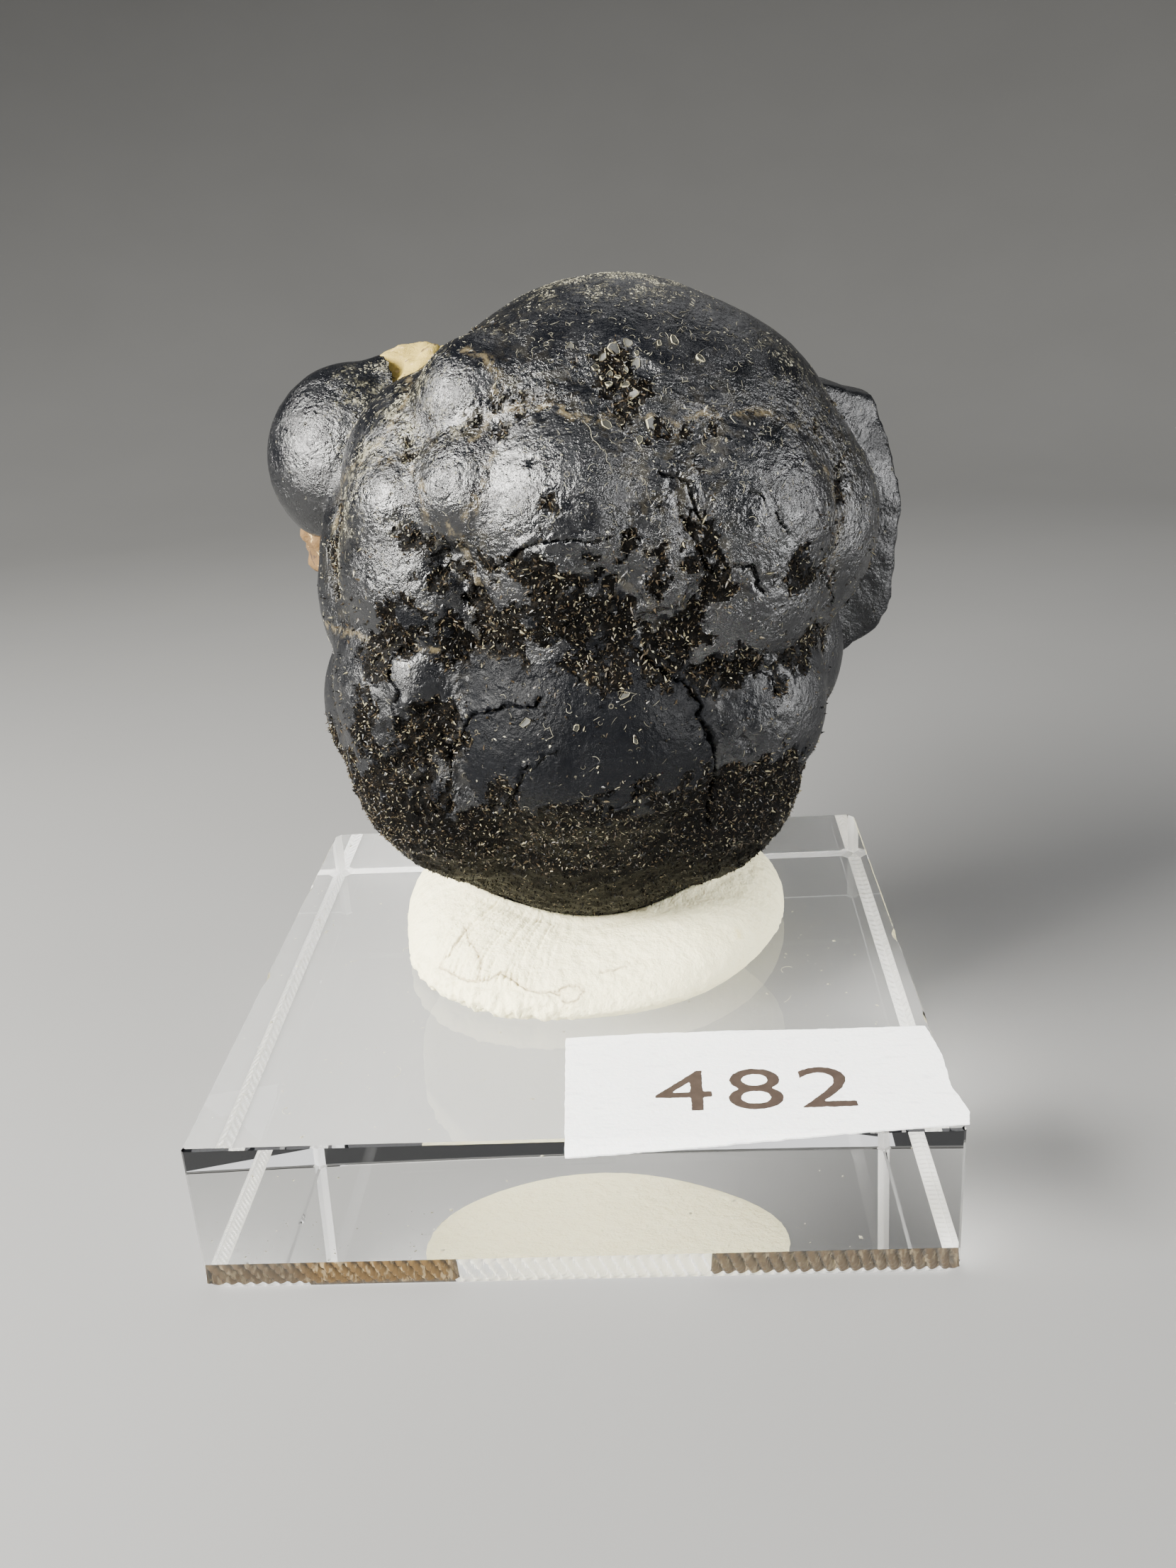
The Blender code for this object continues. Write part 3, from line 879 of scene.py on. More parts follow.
# %% Pale film along the creases
FILM_LINES = [
    [(-3.0, -8.5, 54.0), (-1.8, -8.6, 54.5), (-0.2, -8.9, 54.8), (1.6, -9.5, 54.6), (3.2, -10.1, 53.9),
     (5.1, -9.6, 54.0), (6.7, -9.4, 53.8), (8.8, -9.1, 53.3), (10.4, -8.4, 53.6), (12.6, -7.7, 53.6),
     (14.4, -6.9, 53.4), (16.7, -6.0, 52.1)],
    [(-4.5, -5.8, 58.1), (-2.8, -6.7, 57.4), (-2.3, -7.7, 56.0), (-2.6, -8.2, 54.8), (-3.3, -8.6, 53.8),
     (-4.0, -9.3, 53.1)],
    [(-8.6, 2.6, 56.9), (-8.9, -4.5, 54.9), (-10.4, -5.6, 52.9), (-12.4, -5.2, 51.3),
     (-15.1, -1.0, 48.7), (-15.8, -1.3, 46.2)],
    [(-2.9, -10.3, 52.1), (-3.5, -11.2, 50.2), (-4.8, -11.2, 48.7)],
    [(-5.9, -10.7, 48.1), (-5.1, -10.3, 45.8), (-4.7, -10.4, 44.2), (-4.0, -10.7, 42.9),
     (-4.4, -10.0, 40.0)],
    [(-17.0, -0.6, 39.2), (-13.2, -6.5, 39.8), (-9.3, -9.1, 39.4), (-5.1, -9.8, 40.0), (-3.8, -10.4, 39.3)],
    [(17.6, -6.4, 50.5), (18.8, -5.6, 48.6), (19.2, -5.6, 45.8), (19.0, -5.3, 43.3), (18.9, -4.8, 41.6)],
    [(-11.0, -6.8, 51.5), (-8.8, -7.2, 52.0), (-7.5, -9.6, 50.2), (-7.5, -9.8, 48.6)],
]
FILM_REACH = 0.42
FILM_SHAKE = ((0.35, 1.6), (0.15, 0.5))


def film_at(points, ways):
    """How much pale film there is at each point, from 0 to 1."""
    film = np.zeros(len(points))
    ragged = shaken(points, FILM_SHAKE)
    for line in FILM_LINES:
        away, _ = line_distance(ragged, ways, on_form(line))
        film = np.maximum(film, smooth_step(away, FILM_REACH, 0.05))
    return film


print(len(FILM_LINES), "lines of film")

# %% [markdown]
# ## The nodule's skin
#
# The skin starts as the measured nodule remade in even squares. Squares are split again only where
# there is something fine to show: crust, creases, dents and, twice more, the cracks. That keeps
# the mesh light and the lobes clean. Then each point gets its height: a slow swell, dents, crust.
# The crusty places lie a little lower than the clean skin, with a ragged step between, because
# the skin has flaked off there.

# %% The net
NODULE_NET = 0.44
KEEP_BELOW = 0.9
CRACK_FINER = (0.28, 0.13)


def finer_where(mesh, wanted):
    """Splits in four the squares whose corners are all wanted."""
    bm = bmesh.new()
    bm.from_mesh(mesh)
    bm.verts.ensure_lookup_table()
    edges = [e for e in bm.edges if wanted[e.verts[0].index] and wanted[e.verts[1].index]]
    bmesh.ops.subdivide_edges(bm, edges=edges, cuts=1, use_grid_fill=True)
    bmesh.ops.triangulate(bm, faces=[f for f in bm.faces if len(f.verts) > 4])
    bm.to_mesh(mesh)
    bm.free()


def triangle_count(mesh):
    return sum(len(face.vertices) - 2 for face in mesh.polygons)


def crease_depth(points):
    """How deep in a crease each point lies: 0 on a lone lobe, about 0.7 between two."""
    return np.clip(-form_gap(points, 1.2) / 1.2, 0.0, 2.0)


skin = even_skin(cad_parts["cassiterite_nodule"], NODULE_NET, "cassiterite_skin")
places = points_of(skin)
creases = crease_depth(places)
fine = np.maximum(soft_spots(places, CRUST_SPOTS), soft_spots(places, HAMMERED_SPOTS)) > 0.45
nearness = carving_nearness(places, form_slope(places)[0], CRACKS, PITS, HOLLOWS)
fine |= (creases > 0.75) | (nearness < 0.5)
finer_where(skin, fine & (places[:, 1] < 2.0) & (places[:, 2] > 27.0))
for reach in CRACK_FINER:
    places = points_of(skin)
    finer_where(skin, carving_nearness(places, form_slope(places)[0], CRACKS, PITS) < reach)
print("net:", len(skin.vertices), "points,", triangle_count(skin), "triangles")


# %% Onto the true form
def onto_form(points):
    """Slides points onto the clean form, but leaves the rock's bed behind as it was measured."""
    outward, gap = form_slope(points)
    bed = smooth_step(-gap, KEEP_BELOW * 0.7, KEEP_BELOW) * smooth_step(points[:, 1], 2.0, 4.0)
    hold = 1.0 - bed
    for _ in range(3):
        points = points - (gap * hold)[:, None] * outward
        outward, gap = form_slope(points)
    return points, outward, hold


before = points_of(skin)
places, outward, hold = onto_form(before)
moved = np.linalg.norm(places - before, axis=1)
print(f"points moved by {moved.mean():.2f} mm on average, {moved.max():.2f} at most")

# %% The relief
# Each: height and width of its lumps, in mm
SWELL = (0.10, 4.2)
HAMMER = (0.030, 0.85)
DENTS = (0.115, 0.72)
CRUST_COARSE = (0.16, 1.3)
CRUST_FINE = (0.17, 0.5)
# How much lower the skin lies where it has flaked off
FLAKED = 0.12
# The slab broke with ripples round the point where it was struck
RIPPLES_FROM = (20.0, -2.0, 30.0)
RIPPLE = (0.045, 1.6)

creases = crease_depth(places)
crust = crust_at(places, creases)
hammered = soft_spots(places, HAMMERED_SPOTS)
height = SWELL[0] * noise_at(places, SWELL[1], 1)
height += HAMMER[0] * noise_at(places, HAMMER[1], 2, shift=3.0) * (1 - crust)
height += DENTS[0] * noise_at(places, DENTS[1], 3, shift=13.0) * hammered
height += CRUST_COARSE[0] * noise_at(places, CRUST_COARSE[1], 2) * crust
height += CRUST_FINE[0] * noise_at(places, CRUST_FINE[1], 2, shift=5.0) * crust
flaked = smooth_step(crust + 0.25 * noise_at(places, 0.8, 3, shift=11.0), 0.36, 0.60)
height -= FLAKED * flaked
for i, place in enumerate(PIMPLES):
    away = along_skin(places - np.array(place), outward)
    height += PIMPLE[1] * np.exp(-((away / (PIMPLE[0] * (0.6 + 0.15 * (i % 4)))) ** 2))
ripple = np.linalg.norm(places - np.array(RIPPLES_FROM), axis=1) + 0.5 * noise_at(places, 3.0, 2)
height += RIPPLE[0] * np.sin(2 * pi * ripple / RIPPLE[1]) * smooth_step(places[:, 0], 20.6, 22.0)
height += carved(places, outward, CRACKS, PITS, BUTTONS, HOLLOWS)
set_points(skin, places + (height * hold)[:, None] * outward)
print("relief from", round(float(height.min()), 2), "to", round(float(height.max()), 2), "mm")

# %% What the finish reads
LOW_DULLNESS = 0.07

paint(skin, "crust", crust)
paint(skin, "crease", creases)
paint(skin, "dust", dust_at(places))
paint(skin, "film", film_at(places, outward))
low_down = smooth_step(places[:, 2], 40.0, 35.0)
paint(skin, "dull", 0.12 * crust + LOW_DULLNESS * low_down - 0.06 * hammered)
print("painted:", ", ".join(layer.name for layer in skin.attributes if layer.data_type == "FLOAT"))

# %% [markdown]
# ## Black cassiterite
#
# Clean cassiterite is blue-black with a satin shine. The colour is nearly black everywhere: what
# looks grey is reflected light, so the index of refraction (IOR) and the roughness matter more
# than the colour. The upper lobes mirror about as much as glass does. Those below them are satin,
# as the broken slab is, and the lowest ones are dull and almost black, each with a lower IOR. A
# thin beige film has settled in the creases, and pale dust lies on the top. The clean skin has
# shed tiny flakes all over, and each has left a shallow pit, some with a pale edge.

# %% The stone's colour
BLUE_BLACK = (0.0010, 0.0012, 0.0018, 1)
BLUE_GREY = (0.0026, 0.0030, 0.0044, 1)
FILM_BEIGE = (0.100, 0.080, 0.044, 1)
CREASE_BROWN = (0.05, 0.042, 0.025, 1)
CRUST_BROWN = (0.012, 0.009, 0.005, 1)
FLAKE_RIM = (0.13, 0.12, 0.085, 1)
DUST_BEIGE = (0.21, 0.195, 0.13, 1)


def stone_colour(stone):
    """Mixes the stone's colour from film, brown crust, dust and tiny shed flakes."""
    crusty = stone.painted("crust")
    body = stone.mixed(stone.noise(5, detail=4), BLUE_BLACK, BLUE_GREY)
    patchy = stone.ramp(stone.noise(0.7, 5, 0.65), 0.42, 0.62)
    film = stone.maths("MULTIPLY", stone.painted("film"), patchy)
    body = stone.mixed(stone.maths("MULTIPLY", film, 0.80), body, FILM_BEIGE)
    in_crease = stone.ramp(stone.painted("crease"), 0.7, 1.2)
    hint = stone.maths("MULTIPLY", in_crease, stone.ramp(stone.noise(0.9, 5), 0.48, 0.62))
    body = stone.mixed(stone.maths("MULTIPLY", hint, 0.25), body, CREASE_BROWN)
    brown = stone.maths("MULTIPLY", stone.ramp(stone.noise(0.45, 3, 0.7), 0.52, 0.68), crusty)
    body = stone.mixed(stone.maths("MULTIPLY", brown, 0.25), body, CRUST_BROWN)
    flake = stone.cells(1.05)
    rim = stone.maths("MULTIPLY", stone.ramp(flake, 0.10, 0.14), stone.ramp(flake, 0.19, 0.15))
    rim = stone.maths("MULTIPLY", rim, stone.ramp(stone.noise(0.8, 3), 0.54, 0.62))
    body = stone.mixed(stone.maths("MULTIPLY", rim, 0.5), body, FLAKE_RIM)
    stone.colour(stone.mixed(stone.maths("MULTIPLY", dust_of(stone), 0.85), body, DUST_BEIGE))


def dust_of(stone):
    """Where pale dust lies: in fine grains, and those in patches."""
    grain = stone.ramp(stone.noise(0.5, 5, 0.75), 0.50, 0.62)
    patches = stone.ramp(stone.noise(2.2, 4, 0.6), 0.44, 0.60)
    return stone.maths("MULTIPLY", stone.maths("MULTIPLY", grain, patches), stone.painted("dust"))


print("the stone's colours go from", BLUE_BLACK[:3], "to", BLUE_GREY[:3])


# %% The stone's shine and fine relief
def stone_relief(stone, shine):
    """Sets how rough the stone is, in patches between the two values of shine, and its fine relief."""
    patchy = stone.ramp(stone.noise(1.6, 5, 0.7), 0.32, 0.68, *shine)
    dull = stone.maths("ADD", stone.painted("dull"), stone.maths("MULTIPLY", dust_of(stone), 0.3))
    stone.roughness(stone.maths("ADD", patchy, dull))
    scratched = stone.ramp(stone.noise(2.6, 3, 0.6), 0.42, 0.60, 0.35, 1.0)
    stone.bump(stone.maths("MULTIPLY", stone.noise(0.26, 3, 0.7), scratched), 0.140)
    stone.bump(stone.noise(0.5, 4, 0.65), 0.105)
    stone.bump(stone.noise(1.5, 3, 0.6), 0.095)
    crusty = stone.ramp(stone.painted("crust"), 0.05, 0.4)
    stone.bump(stone.maths("MULTIPLY", stone.noise(0.33, 3, 0.7), crusty), 0.12)
    some = stone.ramp(stone.noise(2.0, 2), 0.46, 0.54)
    shed = stone.maths("MULTIPLY", stone.ramp(stone.cells(1.05), 0.15, 0.07), some)
    stone.bump(stone.maths("MULTIPLY", shed, -1.0), 0.07)


print("the stone's relief has grains of a quarter, a half and one and a half millimetres")

# %% Glossy, satin and dull stone
STONE_LOOKS = {
    "glossy_cassiterite": {"IOR": 1.60, "shine": (0.12, 0.34)},
    "satin_cassiterite": {"IOR": 1.42, "shine": (0.19, 0.42)},
    "dull_cassiterite": {"IOR": 1.21, "shine": (0.28, 0.50)},
}


def stone_finish(name, look):
    """A finish for the stone's skin."""
    stone = Finish(name, roughness=look["shine"][0], IOR=look["IOR"])
    stone_colour(stone)
    stone_relief(stone, look["shine"])
    return stone


glossy, satin, dull = (stone_finish(name, look) for name, look in STONE_LOOKS.items())
print("finishes:", list(STONE_LOOKS))

# %% The crust under the crystals
crust_stone = Finish("crusty_cassiterite", roughness=0.52, IOR=1.13)
earth = crust_stone.ramp(crust_stone.noise(0.6, 4, 0.7), 0.46, 0.66)
earth = crust_stone.mixed(earth, (0.0006, 0.0005, 0.0004, 1), (0.0036, 0.0027, 0.0017, 1))
crumb = crust_stone.maths("MULTIPLY", crust_stone.ramp(crust_stone.noise(0.25, 3), 0.62, 0.72), 0.5)
crust_stone.colour(crust_stone.mixed(crumb, earth, (0.045, 0.033, 0.018, 1)))
crust_stone.bump(crust_stone.noise(0.12, 2), 0.03)
crust_stone.bump(crust_stone.noise(0.3, 4, 0.65), 0.09)

print("finish:", crust_stone.material.name)

# %% The nodule's finishes, place by place
CRUSTY_FROM = 0.50
DULL_ROUND_CRUST = 0.52
KIND_SHAKE = ((1.1, 2.4), (0.7, 0.8))

nodule = new_piece("cassiterite_skin", skin, glossy)
for finish in (satin, dull, crust_stone):
    skin.materials.append(finish.material)
kinds = shine_kind(shaken(places, KIND_SHAKE))
near_crust = soft_spots(places, CRUST_SPOTS) + 0.35 * noise_at(places, 0.9, 3, shift=12.0)
kinds[near_crust > DULL_ROUND_CRUST] = 2
kinds[crust + 0.15 * noise_at(places, 0.5, 3, shift=15.0) > CRUSTY_FROM] = 3
for face in skin.polygons:
    face.material_index = int(np.median(kinds[list(face.vertices)]))
print("points of glossy, satin, dull and crusty stone:", np.bincount(kinds).tolist())
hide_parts("cassiterite_nodule")
print("nodule:", triangle_count(skin), "triangles")

# %% [markdown]
# ## Crystals
#
# The crust is a druse: thousands of crystals, most of them a fifth to half a millimetre long. A
# texture can't sparkle as they do, because each glint is one flat face turned to the light, so
# they are made for real. Each is a double pyramid, which is cassiterite's own crystal form, half
# sunk in the skin and leaning at random. Random triangles of the skin are drawn, more often where
# the crust is thick, and all crystals of a batch become one mesh. Most are black or brown and a
# few are beige, by a tint painted on each; the beige is also a painted highlight for their glints.


# %% Scattering over a mesh
def triangles_of(mesh):
    """The mesh's triangles as rows of three point numbers."""
    mesh.calc_loop_triangles()
    rows = np.empty(len(mesh.loop_triangles) * 3, np.int32)
    mesh.loop_triangles.foreach_get("vertices", rows)
    return rows.reshape(-1, 3)


def scattered(mesh, weights, count, rng):
    """Random places on a mesh, in mm, with the way out at each. They crowd where weights are high."""
    rows = triangles_of(mesh)
    corners = points_of(mesh)[rows]
    cross = np.cross(corners[:, 1] - corners[:, 0], corners[:, 2] - corners[:, 0])
    area = np.linalg.norm(cross, axis=1) + 1e-12
    chance = area * weights[rows].mean(axis=1)
    drawn = rng.choice(len(rows), count, p=chance / chance.sum())
    share = rng.dirichlet((1, 1, 1), count)
    places = (corners[drawn] * share[:, :, None]).sum(axis=1)
    return places, (cross / area[:, None])[drawn]


print("the skin has", len(triangles_of(skin)), "triangles to draw from")

# %% Growing crystals
PYRAMIDS = np.array([
    (0, 2, 4), (0, 4, 3), (0, 3, 5), (0, 5, 2), (1, 4, 2), (1, 3, 4), (1, 5, 3), (1, 2, 5),
])


def unit(rows):
    return rows / np.linalg.norm(rows, axis=1)[:, None]


def grains(name, places, ways, sizes, shape, lean, sink, rng):
    """Double pyramids joined in one mesh. Shape is their length, width and thickness for size 1."""
    count = len(places)
    long_way = unit(ways + lean * rng.normal(size=(count, 3)))
    side = unit(np.cross(long_way, rng.normal(size=(count, 3))))
    other = np.cross(long_way, side)
    half = sizes[:, None] / 2 * np.array(shape) * rng.uniform(0.7, 1.3, (count, 3))
    middle = places - ways * (sink * sizes)[:, None]
    reach = [long_way * half[:, :1], side * half[:, 1:2], other * half[:, 2:]]
    corners = np.stack([middle + s * r for r in reach for s in (1, -1)], axis=1)
    faces = PYRAMIDS[None] + 6 * np.arange(count)[:, None, None]
    return mesh_of(name, corners.reshape(-1, 3), faces.reshape(-1, 3))


print("a crystal has", len(PYRAMIDS), "faces")

# %% The druse's finishes
# The glint colours are pale beige grains, and also painted highlights for the glints of their faces
CRYSTAL_BLACK = (0.0008, 0.0007, 0.0006, 1)
CRYSTAL_BROWN = (0.040, 0.028, 0.0145, 1)
CRYSTAL_GLINT = (0.19, 0.17, 0.105, 1)
FOOT_BLACK = (0.0006, 0.0005, 0.0004, 1)
FOOT_BROWN_SHADED = (0.0042, 0.0031, 0.0018, 1)
FOOT_GLINT = (0.12, 0.10, 0.060, 1)

druse = Finish("druse_crystals", roughness=0.40, IOR=1.36)
tint = druse.painted("tint")
grain_colour = druse.mixed(druse.ramp(tint, 0.35, 0.70), CRYSTAL_BLACK, CRYSTAL_BROWN)
grain_colour = druse.mixed(druse.ramp(tint, 0.80, 0.95), grain_colour, CRYSTAL_GLINT)
druse.colour(grain_colour)
druse.bump(druse.noise(0.12, 2), 0.006)

# The foot's crystals take a darker copy of the druse finish: partly the crust's own dark colour, and partly
# painted shade at the bottom
dark_shaded_druse = Finish("dark_shaded_druse", roughness=0.42, IOR=1.17)
tint = dark_shaded_druse.painted("tint")
low_colour = dark_shaded_druse.mixed(tint, FOOT_BLACK, FOOT_BROWN_SHADED)
low_colour = dark_shaded_druse.mixed(dark_shaded_druse.ramp(tint, 0.90, 0.98), low_colour, FOOT_GLINT)
dark_shaded_druse.colour(low_colour)
print("finishes:", druse.material.name, dark_shaded_druse.material.name)

# %% The druse
DRUSE = {
    "druse_foot": {"from": 0.0, "to": 22.5, "count": 13000, "size": (0.12, 0.32), "finish": dark_shaded_druse},
    "druse_low": {"from": 22.5, "to": 29.0, "count": 15000, "size": (0.12, 0.36), "finish": druse},
    "druse_bands": {"from": 29.0, "to": 70.0, "count": 24500, "size": (0.10, 0.42), "finish": druse},
}
# Length, width and thickness of a crystal of size 1, how far it leans and how deep it is sunk
CRYSTAL_SHAPE = (1.7, 0.55, 0.42)
CRYSTAL_LEAN = 1.3
CRYSTAL_SINK = 0.10
# A few loose grains lie about the band: its middle, its reach and how many
BAND = (40.0, 10.0)
LOOSE_GRAINS = 0.08

skin_places = points_of(skin)
thick = smooth_step(crust, 0.04, 0.60) ** 1.6
round_the_band = smooth_step(np.abs(skin_places[:, 2] - BAND[0]), BAND[1], 0.5 * BAND[1])
thick = np.maximum(thick, LOOSE_GRAINS * round_the_band * (skin_places[:, 1] < 0.0))
for seed, (name, batch) in enumerate(DRUSE.items()):
    rng = np.random.default_rng(11 + seed)
    between = (skin_places[:, 2] > batch["from"]) & (skin_places[:, 2] < batch["to"])
    spots, ways = scattered(skin, thick * between + 1e-9, batch["count"], rng)
    sizes = batch["size"][0] + (batch["size"][1] - batch["size"][0]) * rng.random(len(spots)) ** 2
    mesh = grains(name, spots, ways, sizes, CRYSTAL_SHAPE, CRYSTAL_LEAN, CRYSTAL_SINK, rng)
    paint(mesh, "tint", np.repeat(rng.random(len(spots)), 6))
    piece = new_piece(name, mesh, batch["finish"], smooth=False)
    print(name + ":", len(spots), "crystals,", triangle_count(mesh), "triangles")

# %% [markdown]
# ## Dust, platelets and curls
#
# Three small things sit on the skin. Pale grains of dust lie along the top and the left rim. High
# on the crown a nest of thin platelets has grown, each with a pale raised rim round a dark middle.
# And here and there the skin has peeled into hair-thin pale curls, and many more short pale curls
# are scattered over the upper front, partly as peeled skin and partly as painted glints. All are
# laid on the finished skin: the nearest point of it, and the way out there, are looked up in a
# search tree.

# %% Pale dust
DUST_GRAINS = 4200
SPECKS = 1500
GRAIN_SHAPE = (0.35, 1.3, 0.7)
GREY_BROWN = (0.045, 0.040, 0.027, 1)
PALE_BEIGE = (0.30, 0.285, 0.205, 1)

pale = Finish("pale_dust", roughness=0.7)
pale.colour(pale.mixed(pale.painted("tint"), GREY_BROWN, PALE_BEIGE))
rng = np.random.default_rng(31)
dust_weight = dust_at(skin_places) * smooth_step(noise_at(skin_places, 1.6, 3, shift=17.0), -0.05, 0.35)
spots, ways = scattered(skin, dust_weight + 1e-9, DUST_GRAINS, rng)
front = (skin_places[:, 1] < 3.0) * (skin_places[:, 2] > 30.0) * (1.0 + 2.0 * (skin_places[:, 2] > 48.0))
more_spots, more_ways = scattered(skin, front * (0.3 + crust), SPECKS, rng)
spots, ways = np.concatenate([spots, more_spots]), np.concatenate([ways, more_ways])
sizes = 0.06 + 0.17 * rng.random(len(spots)) ** 3
mesh = grains("dust_on_stone", spots, ways, sizes, GRAIN_SHAPE, 0.15, 0.0, rng)
paint(mesh, "tint", np.repeat(rng.random(len(spots)), 6))
new_piece("dust_on_stone", mesh, pale, smooth=False)
print("dust:", len(spots), "grains")

# %% Laying things on the skin
tree = BVHTree.FromPolygons(skin_places.tolist(), [face.vertices[:] for face in skin.polygons])


def laid(place):
    """The nearest point of the skin, and the way out there."""
    where, way, _, _ = tree.find_nearest(Vector(place))
    return np.array(where), np.array(way)


def joined(name, parts, tints=None):
    """One mesh from several lots of points and faces, with a tint for each point."""
    shift = 0
    points, faces = [], []
    for part_points, part_faces in parts:
        points.append(part_points)
        faces += [[corner + shift for corner in face] for face in part_faces]
        shift += len(part_points)
    mesh = bpy.data.meshes.new(name)
    mesh.from_pydata((np.concatenate(points) * MM).tolist(), [], faces)
    mesh.update()
    if tints is not None:
        paint(mesh, "tint", np.concatenate(tints))
    return mesh


print("the skin lies", np.round(laid((4.5, -11.4, 50.9))[0], 1), "under the first curl")

# %% Platelets
# Place and half-width of each
PLATELETS = [
    ((4.3, -6.9, 57.4), 0.36), ((5.1, -6.6, 57.8), 0.46), ((5.8, -6.4, 58.2), 0.34),
    ((4.7, -7.7, 56.4), 0.26), ((5.2, -7.8, 56.3), 0.24), ((5.7, -7.6, 56.7), 0.24),
    ((6.3, -7.3, 57.0), 0.46), ((4.6, -8.1, 55.8), 0.28), ((5.7, -8.2, 55.8), 0.36),
    ((6.0, -8.6, 55.2), 0.52), ((7.2, -9.6, 53.4), 0.50), ((6.4, -6.9, 57.6), 0.22),
    ((3.8, -7.3, 56.8), 0.30), ((4.2, -7.8, 56.2), 0.22), ((7.9, -6.0, 58.0), 0.22),
    ((8.9, -5.6, 58.2), 0.42), ((10.3, -5.7, 56.6), 0.36), ((4.3, -9.8, 53.3), 0.40),
    ((2.2, -6.2, 57.9), 0.30), ((6.4, -10.3, 52.6), 0.34), ((-1.7, -12.1, 35.1), 0.42),
    ((4.6, -11.7, 36.3), 0.40), ((1.5, -12.6, 34.8), 0.30), ((5.2, -12.4, 33.6), 0.26),
]
# Its rings, from the underside up: share of the radius, lift in mm and tint
PLATELET_RINGS = [
    (1.0, -0.10, 0.2), (1.0, 0.06, 0.9), (0.95, 0.09, 1.0), (0.90, 0.05, 0.0), (0.4, 0.04, 0.0),
]

print(len(PLATELETS), "platelets")


# %% Growing platelets
def platelet(place, half, corners, rng):
    """A thin plate with a raised rim: its points, faces and tints."""
    middle, way = laid(place)
    way = way + 0.14 * rng.normal(size=3)
    way /= np.linalg.norm(way)
    side = np.cross(way, rng.normal(size=3))
    side /= np.linalg.norm(side)
    other = np.cross(way, side) * rng.uniform(0.6, 1.0)
    turns = (np.arange(corners) + rng.uniform(-0.3, 0.3, corners)) * 2 * pi / corners
    radii = half * rng.uniform(0.75, 1.15, corners)
    spokes = (np.cos(turns)[:, None] * side + np.sin(turns)[:, None] * other) * radii[:, None]
    rings = [middle + way * lift + spokes * share for share, lift, _ in PLATELET_RINGS]
    faces = []
    for ring in range(len(rings) - 1):
        for i in range(corners):
            a, b = ring * corners + i, ring * corners + (i + 1) % corners
            faces.append((a, b, b + corners, a + corners))
    faces.append(tuple(reversed(range(corners))))
    faces.append(tuple(range((len(rings) - 1) * corners, len(rings) * corners)))
    tints = np.repeat([t for _, _, t in PLATELET_RINGS], corners)
    return np.concatenate(rings), faces, tints


rng = np.random.default_rng(5)
plates = [platelet(p, half, int(rng.integers(5, 9)), rng) for p, half in PLATELETS]
mesh = joined("platelets", [(p, f) for p, f, _ in plates], [t for _, _, t in plates])
glassy = Finish("platelet", roughness=0.5, IOR=1.4)
rim = glassy.ramp(glassy.painted("tint"), 0.30, 0.85)
glassy.colour(glassy.mixed(rim, (0.026, 0.026, 0.021, 1), (0.34, 0.31, 0.20, 1)))
new_piece("platelets", mesh, glassy, smooth=False)
print("platelets:", len(PLATELETS))

# %% Curls of peeled skin
DRAWN_CURLS = [
    [(3.0, -9.8, 53.8), (3.5, -10.8, 52.7), (4.1, -11.0, 52.0), (4.5, -11.4, 50.8)],
    [(6.5, -11.1, 49.9), (6.7, -11.3, 49.3), (7.0, -11.5, 48.4), (7.3, -11.3, 47.5), (7.6, -11.0, 46.7)],
    [(2.8, -12.2, 46.9), (3.4, -12.1, 47.2), (4.0, -11.8, 47.2)],
    [(-4.4, -10.0, 27.6), (-3.4, -11.1, 29.1), (-2.3, -12.1, 31.0), (-1.9, -12.3, 32.1),
     (0.3, -12.6, 33.4)],
    [(3.3, -11.9, 28.6), (4.8, -11.7, 29.3), (5.2, -12.0, 30.6), (5.6, -11.9, 31.1), (6.2, -11.5, 30.4)],
    [(1.5, -12.6, 30.3), (2.2, -12.3, 29.6), (2.7, -12.0, 28.7), (2.8, -11.5, 27.4)],
    [(3.9, -11.8, 36.3), (4.5, -11.7, 36.7), (5.3, -11.5, 36.5), (5.0, -11.7, 36.1), (4.3, -11.8, 36.0)],
    [(-0.6, -12.5, 34.6), (-0.2, -12.5, 34.8), (0.0, -12.5, 34.3), (-0.4, -12.5, 34.1)],
]
print(len(DRAWN_CURLS), "curls seen in the photograph")

# %% Threads
CURL_SIDES = 4


def thread(seats, radius):
    """A thin round thread through seats, each a place and the way out there: points and faces."""
    middles = np.array([where for where, _ in seats])
    ways = np.array([way for _, way in seats])
    along = unit(np.gradient(middles, axis=0) + 1e-9)
    side = unit(np.cross(along, ways) + 1e-9)
    rings = []
    for i in range(CURL_SIDES):
        turn = 2 * pi * i / CURL_SIDES
        taper = radius * np.sin(np.linspace(0.25, pi - 0.25, len(seats)))[:, None] ** 0.5
        rings.append(middles + ways * radius * 0.6 + taper * (cos(turn) * side + sin(turn) * ways))
    points = np.stack(rings, axis=1).reshape(-1, 3)
    faces = []
    for ring in range(len(seats) - 1):
        for i in range(CURL_SIDES):
            a, b = ring * CURL_SIDES + i, ring * CURL_SIDES + (i + 1) % CURL_SIDES
            faces.append((a, b, b + CURL_SIDES, a + CURL_SIDES))
    faces.append(tuple(reversed(range(CURL_SIDES))))
    faces.append(tuple(range(len(points) - CURL_SIDES, len(points))))
    return points, faces


def ragged_line(corners, step, shake, rng):
    """A line of points every step along the corners, each shaken a little."""
    corners = np.array(corners, float)
    line = [corners[0]]
    for start, end in zip(corners[:-1], corners[1:]):
        count = max(1, int(np.linalg.norm(end - start) / step))
        line += [start + (end - start) * i / count for i in range(1, count + 1)]
    return np.array(line) + shake * rng.normal(size=(len(line), 3))


